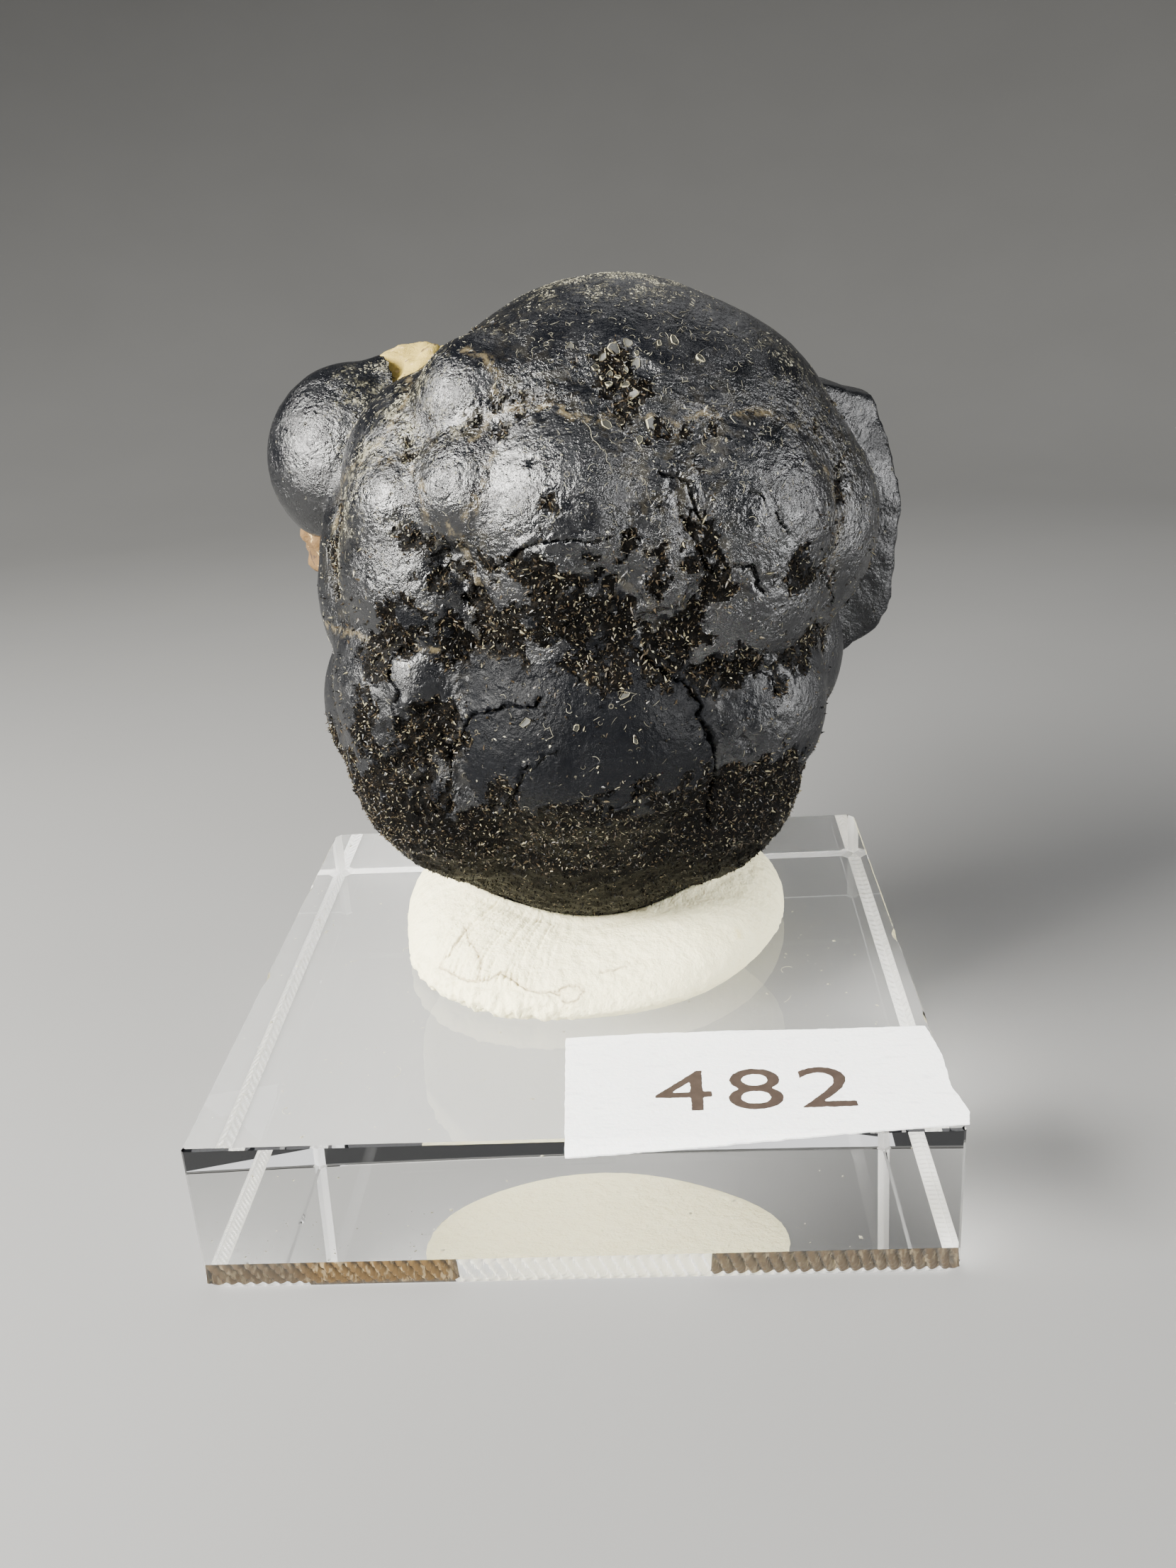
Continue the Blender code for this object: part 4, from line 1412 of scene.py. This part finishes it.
def loose_curl(place, way, rng):
    """A short bent line that starts at a place on the skin."""
    heading = np.cross(way, rng.normal(size=3))
    heading /= np.linalg.norm(heading)
    bend = rng.normal() * 0.5
    line = [place]
    for _ in range(int(rng.integers(2, 6))):
        line.append(line[-1] + heading * 0.13)
        heading = heading * cos(bend) + np.cross(way, heading) * sin(bend)
    return np.array(line)


print("a thread has", CURL_SIDES, "sides")

# %% The curls
LOOSE_CURLS_AND_GLINTS = 1300
CURL_RADIUS = 0.020


def curl(line, radius):
    """A thread laid along a line on the skin."""
    return thread([laid(place) for place in line], radius)


rng = np.random.default_rng(8)
curls = [curl(ragged_line(line, 0.22, 0.05, rng), CURL_RADIUS) for line in DRAWN_CURLS]
upper = (skin_places[:, 1] < 0.0) * (0.25 + smooth_step(skin_places[:, 2], 40.0, 54.0))
spots, ways = scattered(skin, upper, LOOSE_CURLS_AND_GLINTS, rng)
for place, way in zip(spots, ways):
    curls.append(curl(loose_curl(place, way, rng), CURL_RADIUS * rng.uniform(0.5, 1.0)))
# The pale tints of the loose curls are partly painted glints, standing in for the fine sparkle of the skin
tints = [np.full(len(points), 0.7 * rng.random() ** 1.8) for points, _ in curls]
mesh = joined("peeled_curls_and_glints", curls, tints)
new_piece("peeled_curls_and_glints", mesh, pale)
print("curls:", len(curls))

# %% [markdown]
# ## The host rock
#
# The rock in the back is rhyolite, tan to orange and grainy, with paler grains of feldspar. Its
# broken faces come from the measured model. A fine net over them takes a granular relief, which
# reads as rock far better than a texture on flat facets would.

# %% The rock
ROCK_NET = 0.34
ROCK_GRAINS = (0.22, 0.9)
ROCK_BREAKS = (0.30, 2.6)
ROCK_SWELL = 0.10

rock_skin = even_skin(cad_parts["rhyolite_matrix"], ROCK_NET, "rhyolite_skin")
places = points_of(rock_skin)
out = normals_of(rock_skin)
rise = ROCK_SWELL + ROCK_GRAINS[0] * noise_at(places, ROCK_GRAINS[1], 3)
rise += ROCK_BREAKS[0] * noise_at(places, ROCK_BREAKS[1], 2, shift=9.0)
inside = form_gap(places) < -0.6
rise = np.where(inside, 0.0, rise)
set_points(rock_skin, places + rise[:, None] * out)
print("rock:", len(rock_skin.vertices), "points")

# %% The rock's finish
ROCK_SHADED_TO_LIT = (51.0, 56.0)
ROCK_DARK = (0.035, 0.018, 0.008, 1)
FELDSPAR = (0.50, 0.36, 0.15, 1)

tan = Finish("tan_rhyolite", roughness=0.82)
# Dark orange low down and pale straw high up: partly the rock's own colours, and partly painted shade that
# darkens the lower rock
paint(rock_skin, "high", smooth_step(places[:, 2], *ROCK_SHADED_TO_LIT))
orange = tan.mixed(tan.noise(3.5, detail=5), (0.034, 0.016, 0.004, 1), (0.19, 0.102, 0.025, 1))
straw = tan.mixed(tan.noise(3.5, detail=5), (0.27, 0.19, 0.038, 1), (0.43, 0.33, 0.080, 1))
ground = tan.mixed(tan.painted("high"), orange, straw)
ground = tan.mixed(tan.ramp(tan.noise(0.7, detail=4), 0.60, 0.70), ground, FELDSPAR)
stained = tan.ramp(tan.noise(1.1, detail=3, distortion=1.0), 0.60, 0.70)
ground = tan.mixed(stained, ground, ROCK_DARK)
tan.colour(ground)
tan.bump(tan.noise(0.25, detail=5, roughness=0.7), 0.12)

rock = new_piece("rhyolite_skin", rock_skin, tan)
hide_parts("rhyolite_matrix")
print("finish:", tan.material.name)

# %% [markdown]
# ## The putty
#
# A ball of white putty was pressed flat on the block and the nodule was pressed into it, so it
# stands up in a lip round the stone. The skin of the lip shows how it was handled: fine wrinkles
# run down its left front where it was squeezed, short cracks follow them, and along the bottom a
# folded edge has crumbled. The measured pad keeps a small gap to the stone and to the block. Here
# the gaps are closed: points near the stone are drawn onto it, and the foot is let a hair into the
# block, so that the two are in contact as real putty is.

# %% The putty's forms, in mm
# Wrinkles: where they start and end round the pad, in degrees, how high up they fade out, how wide,
# long and deep they are
WRINKLES = {"turn": (-66, -2), "rise": (13.7, 14.3), "size": (0.44, 2.8, 1.0), "depth": 0.15}
PUTTY_CRACKS = [
    ([(-8.6, -4.2, 15.9), (-9.1, -5.1, 15.5), (-9.6, -6.1, 14.9), (-10.3, -6.5, 14.2)], 0.07, 0.14, 0.05),
    ([(-8.6, -4.2, 15.9), (-7.8, -5.8, 15.5), (-7.1, -7.2, 15.1), (-7.0, -8.1, 14.7),
      (-7.3, -8.9, 14.1)], 0.07, 0.14, 0.04),
    ([(-10.4, -6.6, 14.0), (-8.0, -8.7, 13.9), (-7.3, -9.0, 14.1), (-6.4, -9.2, 14.2),
      (-5.6, -8.7, 14.6), (-5.0, -9.2, 14.4), (-4.6, -9.4, 14.4), (-3.7, -10.2, 14.0),
      (-1.1, -10.8, 13.7)], 0.09, 0.20, -0.06),
    ([(-1.3, -10.6, 13.8), (-0.6, -10.4, 14.0), (0.2, -10.2, 14.1), (0.6, -10.7, 13.8),
      (0.0, -11.1, 13.4), (-0.8, -11.1, 13.5)], 0.06, 0.14, 0.05),
    ([(2.0, -9.2, 14.5), (3.0, -8.9, 14.6), (3.8, -8.6, 14.7)], 0.06, 0.12, 0.04),
]
YELLOW_SPOT = ((12.2, -4.3, 14.6), 0.7)
print(len(PUTTY_CRACKS), "cracks in the putty")

# %% Pressing the putty on
PUTTY_NET = 0.27
PUTTY_SINK = 0.05
PUTTY_REACH = 0.75
PAD_MIDDLE = np.array((0.6, 5.0))
_, block_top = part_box("acrylic_base")
BLOCK_TOP = block_top.z / MM


def turn_of(places):
    """Angle round the pad's middle: 0 in front, positive to the right."""
    return np.arctan2(places[:, 0] - PAD_MIDDLE[0], PAD_MIDDLE[1] - places[:, 1])


putty_skin = even_skin(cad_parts["mounting_putty"], PUTTY_NET, "putty_skin")
places = points_of(putty_skin)
low, high = (radians(t) for t in WRINKLES["turn"])
turn = turn_of(places)
in_front = (turn > low - 0.15) & (turn < high + 0.35) & (places[:, 2] > BLOCK_TOP + 0.3)
finer_where(putty_skin, in_front)
nearness = carving_nearness(points_of(putty_skin), normals_of(putty_skin), PUTTY_CRACKS)
finer_where(putty_skin, nearness < 0.30)
places = points_of(putty_skin)
foot = places[:, 2].min()
drop = (foot - BLOCK_TOP + PUTTY_SINK) * smooth_step(places[:, 2], foot + 2.5, foot + 0.2)
outward, gap = form_slope(places)
pull = smooth_step(gap, PUTTY_REACH, PUTTY_REACH * 0.5)
places = places - ((gap + PUTTY_SINK) * pull)[:, None] * outward
places[:, 2] -= drop
set_points(putty_skin, places)
print("putty:", len(putty_skin.vertices), "points")

# %% Wrinkles, a crumbled fold and cracks
PAD_RADIUS = 11.5
PUTTY_LUMP = 0.05
# The fold: where it begins and is full at its left and its right end, in degrees round the pad, how
# high up it fades out, how far it bulges, and the height and width of its crumbs
FOLD_LEFT = (-75, -55)
FOLD_RIGHT = (8, -12)
FOLD_RISE = (13.9, 13.4)
FOLD_BULGE = 0.20
FOLD_CRUMBS = (0.34, 0.9)

out = normals_of(putty_skin)
turn = turn_of(places)
free = (1 - pull) * smooth_step(places[:, 2], BLOCK_TOP + 0.15, BLOCK_TOP + 0.6)
in_wrinkles = smooth_step(turn, low, low + 0.35) * smooth_step(turn, high, high - 0.35)
in_wrinkles *= smooth_step(places[:, 2], *WRINKLES["rise"])
round_the_pad = turn * PAD_RADIUS + 0.25 * places[:, 2]
unrolled = np.column_stack([round_the_pad, places[:, 2], np.zeros(len(places))])
furrow = smooth_step(np.abs(noise_at(unrolled, np.array(WRINKLES["size"]), 2)), 0.26, 0.0)
rise = -WRINKLES["depth"] * furrow * in_wrinkles
rise += PUTTY_LUMP * noise_at(places, 1.6, 3) + PUTTY_LUMP * noise_at(places, 0.7, 3, shift=4.0)
left_end, right_end = np.radians(FOLD_LEFT), np.radians(FOLD_RIGHT)
folded = smooth_step(turn, *left_end) * smooth_step(turn, *right_end)
folded *= smooth_step(places[:, 2], *FOLD_RISE)
crumbs = FOLD_CRUMBS[0] * noise_at(places, FOLD_CRUMBS[1], 3, shift=2.0)
rise += folded * (FOLD_BULGE + crumbs)
rise += carved(places, out, PUTTY_CRACKS)
set_points(putty_skin, places + (rise * free)[:, None] * out)
print("the putty's relief is up to", round(float(np.abs(rise * free).max()), 2), "mm")

# %% The putty's finish
CREAM = (0.80, 0.74, 0.45, 1)
OFF_WHITE = (0.90, 0.85, 0.57, 1)
STAIN_GREY = (0.78, 0.73, 0.58, 1)
CRACK_DARK_BROWN = (0.34, 0.27, 0.17, 1)
SPOT_YELLOW = (0.80, 0.66, 0.22, 1)

spot = np.linalg.norm(shaken(places, ((0.4, 0.8),)) - np.array(YELLOW_SPOT[0]), axis=1)
paint(putty_skin, "yellow", smooth_step(spot, YELLOW_SPOT[1], 0.1))
# A darker brown is painted along the putty's cracks
wandering = shaken(places, CRACK_SHAKE)
away = np.min([line_distance(wandering, out, line)[0] for line, *_ in PUTTY_CRACKS], axis=0)
paint(putty_skin, "grime", smooth_step(away, 0.24, 0.04))

white = Finish("white_putty", roughness=0.62, IOR=1.45, Subsurface_Weight=0.15, Subsurface_Scale=0.3 * MM)
white.shader.inputs["Subsurface Radius"].default_value = (1.0, 0.8, 0.55)
body = white.mixed(white.noise(2.2, detail=4), CREAM, OFF_WHITE)
stain = white.ramp(white.noise(1.4, detail=5, distortion=0.6), 0.62, 0.75)
body = white.mixed(white.maths("MULTIPLY", stain, 0.4), body, STAIN_GREY)
body = white.mixed(white.maths("MULTIPLY", white.painted("grime"), 0.55), body, CRACK_DARK_BROWN)
body = white.mixed(white.maths("MULTIPLY", white.painted("yellow"), 0.5), body, SPOT_YELLOW)
white.colour(body)
white.bump(white.noise(0.4, detail=5, roughness=0.65), 0.16)
white.bump(white.noise(1.3, detail=3), 0.30)

putty = new_piece("putty_skin", putty_skin, white)
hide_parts("mounting_putty")
print("finish:", white.material.name)

# %% [markdown]
# ## The clear block
#
# The block is cast acrylic, cut square and polished. Its top edges are crisp, but the saw left the
# bottom ones rough: they are bevelled, and the cutter's chatter runs across the bevel like the
# strands of a rope. That bevel is what draws the frosted lines seen through the block, so it is
# modelled tooth by tooth. The rest is the plainest shape there is, and all of its richness comes
# from true refraction: IOR 1.49 and full transmission. The block lets light through to the floor
# (its own shadow is off), because light that bends through clear plastic is not dark below it.

# %% The block, in mm
BLOCK_HALF = block_top.x / MM
EDGE_STEPS = 600
FRONT_CORNER = 0.18
BACK_CORNER = 0.5
TOP_EDGE = 0.14
BEVEL_ROWS = 6
# For the front, right, back and left side: how far the bevel goes in and up, and its teeth's depth
BEVEL_IN = (0.5, 0.6, 0.6, 0.6)
BEVEL_UP = (2.3, 0.6, 0.6, 0.6)
TOOTH_DEPTH = (0.34, 0.05, 0.03, 0.05)
TOOTH = 0.85
TOOTH_SLANT = 1.3
CHIPS = [((-24.9, -3.0), 0.45), ((24.9, 0.5), 0.5), ((-24.9, 13.0), 0.25), ((24.9, -12.0), 0.25)]


def rim_points(insets):
    """Points round the block's outline, drawn in by one inset for each of its four sides."""
    front, right, back, left = (BLOCK_HALF - inset for inset in insets)
    across_front = np.linspace(-left + FRONT_CORNER, right - FRONT_CORNER, EDGE_STEPS)
    up_right = np.linspace(-front + FRONT_CORNER, back - BACK_CORNER, EDGE_STEPS)
    across_back = np.linspace(right - BACK_CORNER, -left + BACK_CORNER, EDGE_STEPS)
    down_left = np.linspace(back - BACK_CORNER, -front + FRONT_CORNER, EDGE_STEPS)
    sides = [(across_front, np.full(EDGE_STEPS, -front)), (np.full(EDGE_STEPS, right), up_right),
             (across_back, np.full(EDGE_STEPS, back)), (np.full(EDGE_STEPS, -left), down_left)]
    return np.array([(x, y) for xs, ys in sides for x, y in zip(xs, ys)])


def by_side(values):
    """One value for each outline point, from one for each side."""
    return np.repeat(values, EDGE_STEPS)


def tooth_height(along, across):
    """The chatter of the cutter: slanting strands, each swelling and then falling off sharply."""
    phase = (along / TOOTH + across * TOOTH_SLANT) % 1.0
    return by_side(TOOTH_DEPTH) * (np.sin(pi * phase**0.6) - 0.5)


print("the block's outline has", 4 * EDGE_STEPS, "points")

# %% The block's rows, from the underside to the top
outline = rim_points((0.0, 0.0, 0.0, 0.0))
steps_between = np.linalg.norm(np.roll(outline, -1, axis=0) - outline, axis=1)
along = np.concatenate([[0.0], np.cumsum(steps_between)[:-1]])
away_from = np.sign(outline) * (np.abs(outline) > BLOCK_HALF - 0.5)
rows = []
for row in range(BEVEL_ROWS + 1):
    across = row / BEVEL_ROWS
    bow = tooth_height(along, across) * sin(pi * across)
    ring = rim_points([inset * (1 - across) for inset in BEVEL_IN]) + away_from * bow[:, None]
    rows.append(np.column_stack([ring, by_side(BEVEL_UP) * across - bow]))
chipped = np.zeros(len(outline))
for place, deep in CHIPS:
    near = np.linalg.norm(outline - np.array(place), axis=1)
    chipped = np.maximum(chipped, deep * smooth_step(near, 1.2, 0.2))
wavy = 0.02 * noise_at(rows[-1], 2.0, 2)
top_in = rim_points([TOP_EDGE] * 4) - away_from * (wavy + chipped * 0.5)[:, None]
rows.append(np.column_stack([outline, BLOCK_TOP - TOP_EDGE - wavy - chipped * 0.7]))
rows.append(np.column_stack([top_in, np.full(len(outline), BLOCK_TOP)]))
print("the block has", len(rows), "rows")

# %% The block's mesh
count = len(outline)
faces = []
for low in range(len(rows) - 1):
    for i in range(count):
        j = (i + 1) % count
        faces.append((low * count + i, low * count + j, (low + 1) * count + j, (low + 1) * count + i))
faces.append(tuple(reversed(range(count))))
faces.append(tuple(range((len(rows) - 1) * count, len(rows) * count)))
block_mesh = mesh_of("clear_block", np.concatenate(rows), [list(f) for f in faces[:-2]])
bm = bmesh.new()
bm.from_mesh(block_mesh)
bm.verts.ensure_lookup_table()
for cap in faces[-2:]:
    bm.faces.new([bm.verts[i] for i in cap])
bmesh.ops.recalc_face_normals(bm, faces=bm.faces)
bm.to_mesh(block_mesh)
bm.free()
print("block:", len(block_mesh.polygons), "faces")

# %% Golden strands along the front edge, painted warm light and shade
GOLDEN_LEFT = (-7.0, -9.0)
GOLDEN_RIGHT = (7.0, 9.5)
GOLDEN_END = (-20.0, -17.0)

# The golden tint along the front bevel is painted warm light caught by the sawn edge, and the dark gap
# between strands is painted shade
at_left = smooth_step(outline[:, 0], *GOLDEN_LEFT) * smooth_step(outline[:, 0], *GOLDEN_END)
golden_light = np.where(outline[:, 0] < 0, 0.42 + 0.58 * at_left, 0.40)
golden_light *= smooth_step(outline[:, 0], *GOLDEN_LEFT) + smooth_step(outline[:, 0], *GOLDEN_RIGHT)
golden_light *= outline[:, 1] < -BLOCK_HALF + 1.0
tints, gaps = [], []
for row in range(len(rows)):
    across = min(1.0, row / BEVEL_ROWS)
    strand = (along / TOOTH + across * TOOTH_SLANT) % 1.0
    tints.append(golden_light * (across > 0.1) * (row <= BEVEL_ROWS))
    gaps.append(smooth_step(strand, 0.30, 0.06) + smooth_step(strand, 0.72, 0.94))
tints = np.concatenate(tints)
paint(block_mesh, "tint", tints)
paint(block_mesh, "gap", np.concatenate(gaps))
print("golden points:", int((tints > 0.35).sum()))

# %% Clear, sawn and golden acrylic
# Gold on the strands is painted warm light, the gap colour is painted shade between them, and the pale
# streaks are painted highlights
SAWN_GREY = (0.045, 0.043, 0.038, 1)
STRAND_LIT_GOLD = (0.120, 0.068, 0.020, 1)
STRAND_GAP_SHADE = (0.003, 0.002, 0.001, 1)
STREAK_HIGHLIGHT = (0.40, 0.31, 0.17, 1)

clear = Finish("clear_acrylic", roughness=0.0, IOR=1.49, Transmission_Weight=1.0)
clear.shader.inputs["Base Color"].default_value = (0.985, 0.99, 0.99, 1)
frosted = Finish("sawn_acrylic", roughness=0.42, IOR=1.49, Transmission_Weight=0.72)
frosted.colour(frosted.mixed(frosted.noise(0.3, detail=4), (0.90, 0.90, 0.89, 1), (0.95, 0.95, 0.94, 1)))
lit_golden_edge = Finish("strands_in_warm_light", roughness=0.35, IOR=1.49, Transmission_Weight=0.15)
strands = lit_golden_edge.mixed(lit_golden_edge.painted("gap"), STRAND_LIT_GOLD, STRAND_GAP_SHADE)
highlight_streaks = lit_golden_edge.ramp(lit_golden_edge.noise(0.35, detail=4, stretch=(1.0, 1.0, 0.4)), 0.52, 0.66)
strands = lit_golden_edge.mixed(lit_golden_edge.maths("MULTIPLY", highlight_streaks, 0.6), strands, STREAK_HIGHLIGHT)
lit_golden_edge.colour(lit_golden_edge.mixed(lit_golden_edge.painted("tint"), SAWN_GREY, strands))
frosted.bump(frosted.noise(0.15, detail=3), 0.02)
block = new_piece("clear_block", block_mesh, clear, smooth=False)
block_mesh.materials.append(frosted.material)
block_mesh.materials.append(lit_golden_edge.material)
back_corners = (2 * EDGE_STEPS - 1, 3 * EDGE_STEPS - 1)
for face in block_mesh.polygons[: (BEVEL_ROWS + 2) * count]:
    if face.index < BEVEL_ROWS * count or face.index % count in back_corners:
        face.material_index = 2 if tints[list(face.vertices)].mean() > 0.35 else 1
block.visible_shadow = False
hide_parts("acrylic_base")
print("finishes:", ", ".join(material.name for material in block_mesh.materials))

# %% Dust on the block
SPECKS_ON_TOP = 170
SPECKS_IN_FRONT = 26
# Where they gather: middle and reach on the block's top
GATHERED = [((-14.0, -17.0), 7.0), ((17.0, -6.0), 5.0), ((-19.0, 6.0), 5.0), ((0.0, -4.0), 16.0)]

rng = np.random.default_rng(23)
spots = []
while len(spots) < SPECKS_ON_TOP:
    middle, reach = GATHERED[rng.integers(len(GATHERED))]
    x, y = np.array(middle) + reach * rng.normal(size=2)
    if max(abs(x), abs(y)) < BLOCK_HALF - 0.5:
        spots.append((x, y, BLOCK_TOP))
fronts = []
for _ in range(SPECKS_IN_FRONT):
    fronts.append((rng.uniform(-24, 24), -BLOCK_HALF, rng.uniform(2.5, BLOCK_TOP - 1)))
ways = np.array([(0.0, 0.0, 1.0)] * len(spots) + [(0.0, -1.0, 0.0)] * len(fronts))
spots = np.array(spots + fronts)
sizes = 0.10 + 0.24 * rng.random(len(spots)) ** 3
specks = grains("specks", spots, ways, sizes, (0.4, 1.2, 0.8), 0.1, 0.0, rng)
paint(specks, "tint", np.repeat(rng.uniform(0.6, 1.0, len(spots)), 6))
new_piece("specks_on_block", specks, pale, smooth=False)
print(len(spots), "specks on the block")

# %% Fibres on the block
FIBRES = 14
FIBRE_RADIUS = 0.025
FIBRE_POINTS = 8


def fibre(place, length, rng):
    """A bent fibre that lies on the block's top."""
    heading, bend = rng.uniform(0, 2 * pi), rng.normal() * 0.35
    where = np.array(place, float)
    seats = []
    for _ in range(FIBRE_POINTS):
        seats.append((where.copy(), np.array((0.0, 0.0, 1.0))))
        where[:2] += length / FIBRE_POINTS * np.array((cos(heading), sin(heading)))
        heading += bend
    return thread(seats, FIBRE_RADIUS)


fibres = [fibre(spots[i], rng.uniform(0.6, 2.0), rng) for i in range(FIBRES)]
mesh = joined("fibres", fibres, [np.full(len(p), 1.0) for p, _ in fibres])
new_piece("fibres_on_block", mesh, pale)
print(len(fibres), "fibres on the block")

# %% [markdown]
# ## The paper label
#
# The label is a strip of thin printed paper, cut by hand, so that its edges wander. It is laid on
# the block and curls up by a hair here and there, and its front left corner hangs over the edge of
# the block. The outline keeps the corners of the measured model. Points are spread inside it and
# the whole is knitted into triangles, so that it can be bent. A plain number is printed on it.

# %% The label, in mm
LABEL_OUTLINE = [(-0.7, -13.3), (5.2, -13.0), (24.6, -13.2), (25.1, -17.0), (24.9, -20.4),
                 (25.5, -23.4), (25.2, -24.6), (10.0, -25.9), (-0.1, -26.6), (-0.4, -20.0)]
LABEL_STEP = 0.35
LABEL_THICK = 0.11
LABEL_LIFT = 0.02
CURL = 0.10
DROOP = 0.16


def label_height(points):
    """Height of the paper over the block: slight waves, and a droop past the block's front edge."""
    flat = np.column_stack([points[:, :2], np.zeros(len(points))])
    wave = CURL * np.clip(noise_at(flat, 7.0, 2, shift=1.0), 0, None)
    past = np.clip(-BLOCK_HALF - points[:, 1], 0, None)
    return BLOCK_TOP + LABEL_LIFT + wave - DROOP * past**1.5


def dense_outline(corners, step, jitter):
    """The outline with points every step, each moved a little at random across it."""
    corners = np.array(corners)
    dense = []
    for start, end in zip(corners, np.roll(corners, -1, axis=0)):
        count = max(1, int(np.linalg.norm(end - start) / step))
        dense += [start + (end - start) * i / count for i in range(count)]
    dense = np.array(dense)
    flat = np.column_stack([dense, np.zeros(len(dense))])
    wobble = np.column_stack([noise_at(flat, 0.8, 3, 1.0), noise_at(flat, 0.8, 3, 6.0)])
    return dense + jitter * wobble


print("the label has", len(LABEL_OUTLINE), "corners")

# %% Knitting the label
edge = dense_outline(LABEL_OUTLINE, LABEL_STEP * 0.6, 0.06)
xs = np.arange(edge[:, 0].min(), edge[:, 0].max(), LABEL_STEP)
ys = np.arange(edge[:, 1].min(), edge[:, 1].max(), LABEL_STEP)
grid = [(x, y) for x in xs for y in ys]
flat_points = [Vector(p) for p in edge.tolist()] + [Vector(p) for p in grid]
edge_pairs = [(i, (i + 1) % len(edge)) for i in range(len(edge))]
knit = delaunay_2d_cdt(flat_points, edge_pairs, [], 1, 1e-5)
sheet = np.array([(p.x, p.y) for p in knit[0]])
top = np.column_stack([sheet, label_height(sheet) + LABEL_THICK])
bm = bmesh.new()
verts = [bm.verts.new(p * MM) for p in top]
for tri in knit[2]:
    bm.faces.new([verts[i] for i in tri])
bmesh.ops.recalc_face_normals(bm, faces=bm.faces)
bm.faces.ensure_lookup_table()
if bm.faces[0].normal.z < 0:
    bmesh.ops.reverse_faces(bm, faces=bm.faces)
lower = bmesh.ops.duplicate(bm, geom=bm.verts[:] + bm.edges[:] + bm.faces[:])
under = [g for g in lower["geom"] if isinstance(g, bmesh.types.BMVert)]
bmesh.ops.translate(bm, verts=under, vec=(0, 0, -LABEL_THICK * MM))
bmesh.ops.reverse_faces(bm, faces=[g for g in lower["geom"] if isinstance(g, bmesh.types.BMFace)])
rims = [e for e in bm.edges if e.is_boundary]
bmesh.ops.bridge_loops(bm, edges=rims)
label_mesh = bpy.data.meshes.new("label_sheet")
bm.to_mesh(label_mesh)
bm.free()
print("label:", len(label_mesh.vertices), "points")

# %% The paper
PAPER_GREY = (0.84, 0.85, 0.84, 1)
PAPER_WHITE = (0.96, 0.965, 0.95, 1)

paper = Finish("label_paper", roughness=0.78, Subsurface_Weight=0.1, Subsurface_Scale=0.2 * MM)
sheet_white = paper.mixed(paper.noise(0.9, detail=5, roughness=0.65), PAPER_GREY, PAPER_WHITE)
felted = paper.ramp(paper.noise(0.5, detail=4, stretch=(0.25, 1.0, 1.0)), 0.56, 0.68)
paper.colour(paper.mixed(paper.maths("MULTIPLY", felted, 0.45), sheet_white, (0.68, 0.69, 0.70, 1)))
paper.bump(paper.noise(0.3, detail=4), 0.04)

label = new_piece("label_sheet", label_mesh, paper, smooth=False)
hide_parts("paper_label")
print("finish:", paper.material.name)

# %% A plain number on the label
NUMBER = "482"
NUMBER_BOX = ((5.6, 18.6), (-22.5, -17.9))

text = bpy.data.curves.new("number", "FONT")
text.body = NUMBER
text.size = 1.0
text.extrude = 0.02
text.space_character = 1.15
text_object = bpy.data.objects.new("number", text)
bpy.context.scene.collection.objects.link(text_object)
graph = bpy.context.evaluated_depsgraph_get()
ink_mesh = bpy.data.meshes.new_from_object(text_object.evaluated_get(graph))
bpy.data.objects.remove(text_object)
print("the number has", len(ink_mesh.vertices), "points as type")

# %% The number as ink on the paper
INK_THICK = 0.03
INK_NET = 0.075
RAW_THICK = 0.3

letters = points_of(ink_mesh) * MM
low, high = letters.min(axis=0), letters.max(axis=0)
share = (letters - low) / (high - low)
(left, right), (front, back) = NUMBER_BOX
places = np.column_stack([
    left + share[:, 0] * (right - left),
    front + share[:, 1] * (back - front),
    share[:, 2] * RAW_THICK,
])
set_points(ink_mesh, places)
bm = bmesh.new()
bm.from_mesh(ink_mesh)
bmesh.ops.remove_doubles(bm, verts=bm.verts, dist=1e-6)
bm.to_mesh(ink_mesh)
bm.free()
ink_object = bpy.data.objects.new("ink", ink_mesh)
bpy.context.scene.collection.objects.link(ink_object)
ink_skin = even_skin(ink_object, INK_NET, "label_number")
bpy.data.objects.remove(ink_object)
places = points_of(ink_skin)
ragged = np.column_stack([noise_at(places, 0.35, 2, 1.0), noise_at(places, 0.35, 2, 8.0)]) * 0.05
places[:, :2] += ragged
depth = np.clip(places[:, 2] / RAW_THICK, 0, 1) * INK_THICK
places[:, 2] = label_height(places) + LABEL_THICK + depth - INK_THICK * 0.4
set_points(ink_skin, places)

ink = Finish("brown_black_ink", roughness=0.55)
ink.colour(ink.mixed(ink.noise(0.5, detail=5), (0.022, 0.014, 0.010, 1), (0.060, 0.042, 0.032, 1)))
number = new_piece("label_number", ink_skin, ink)
print("number:", len(ink_skin.vertices), "points")

# %% [markdown]
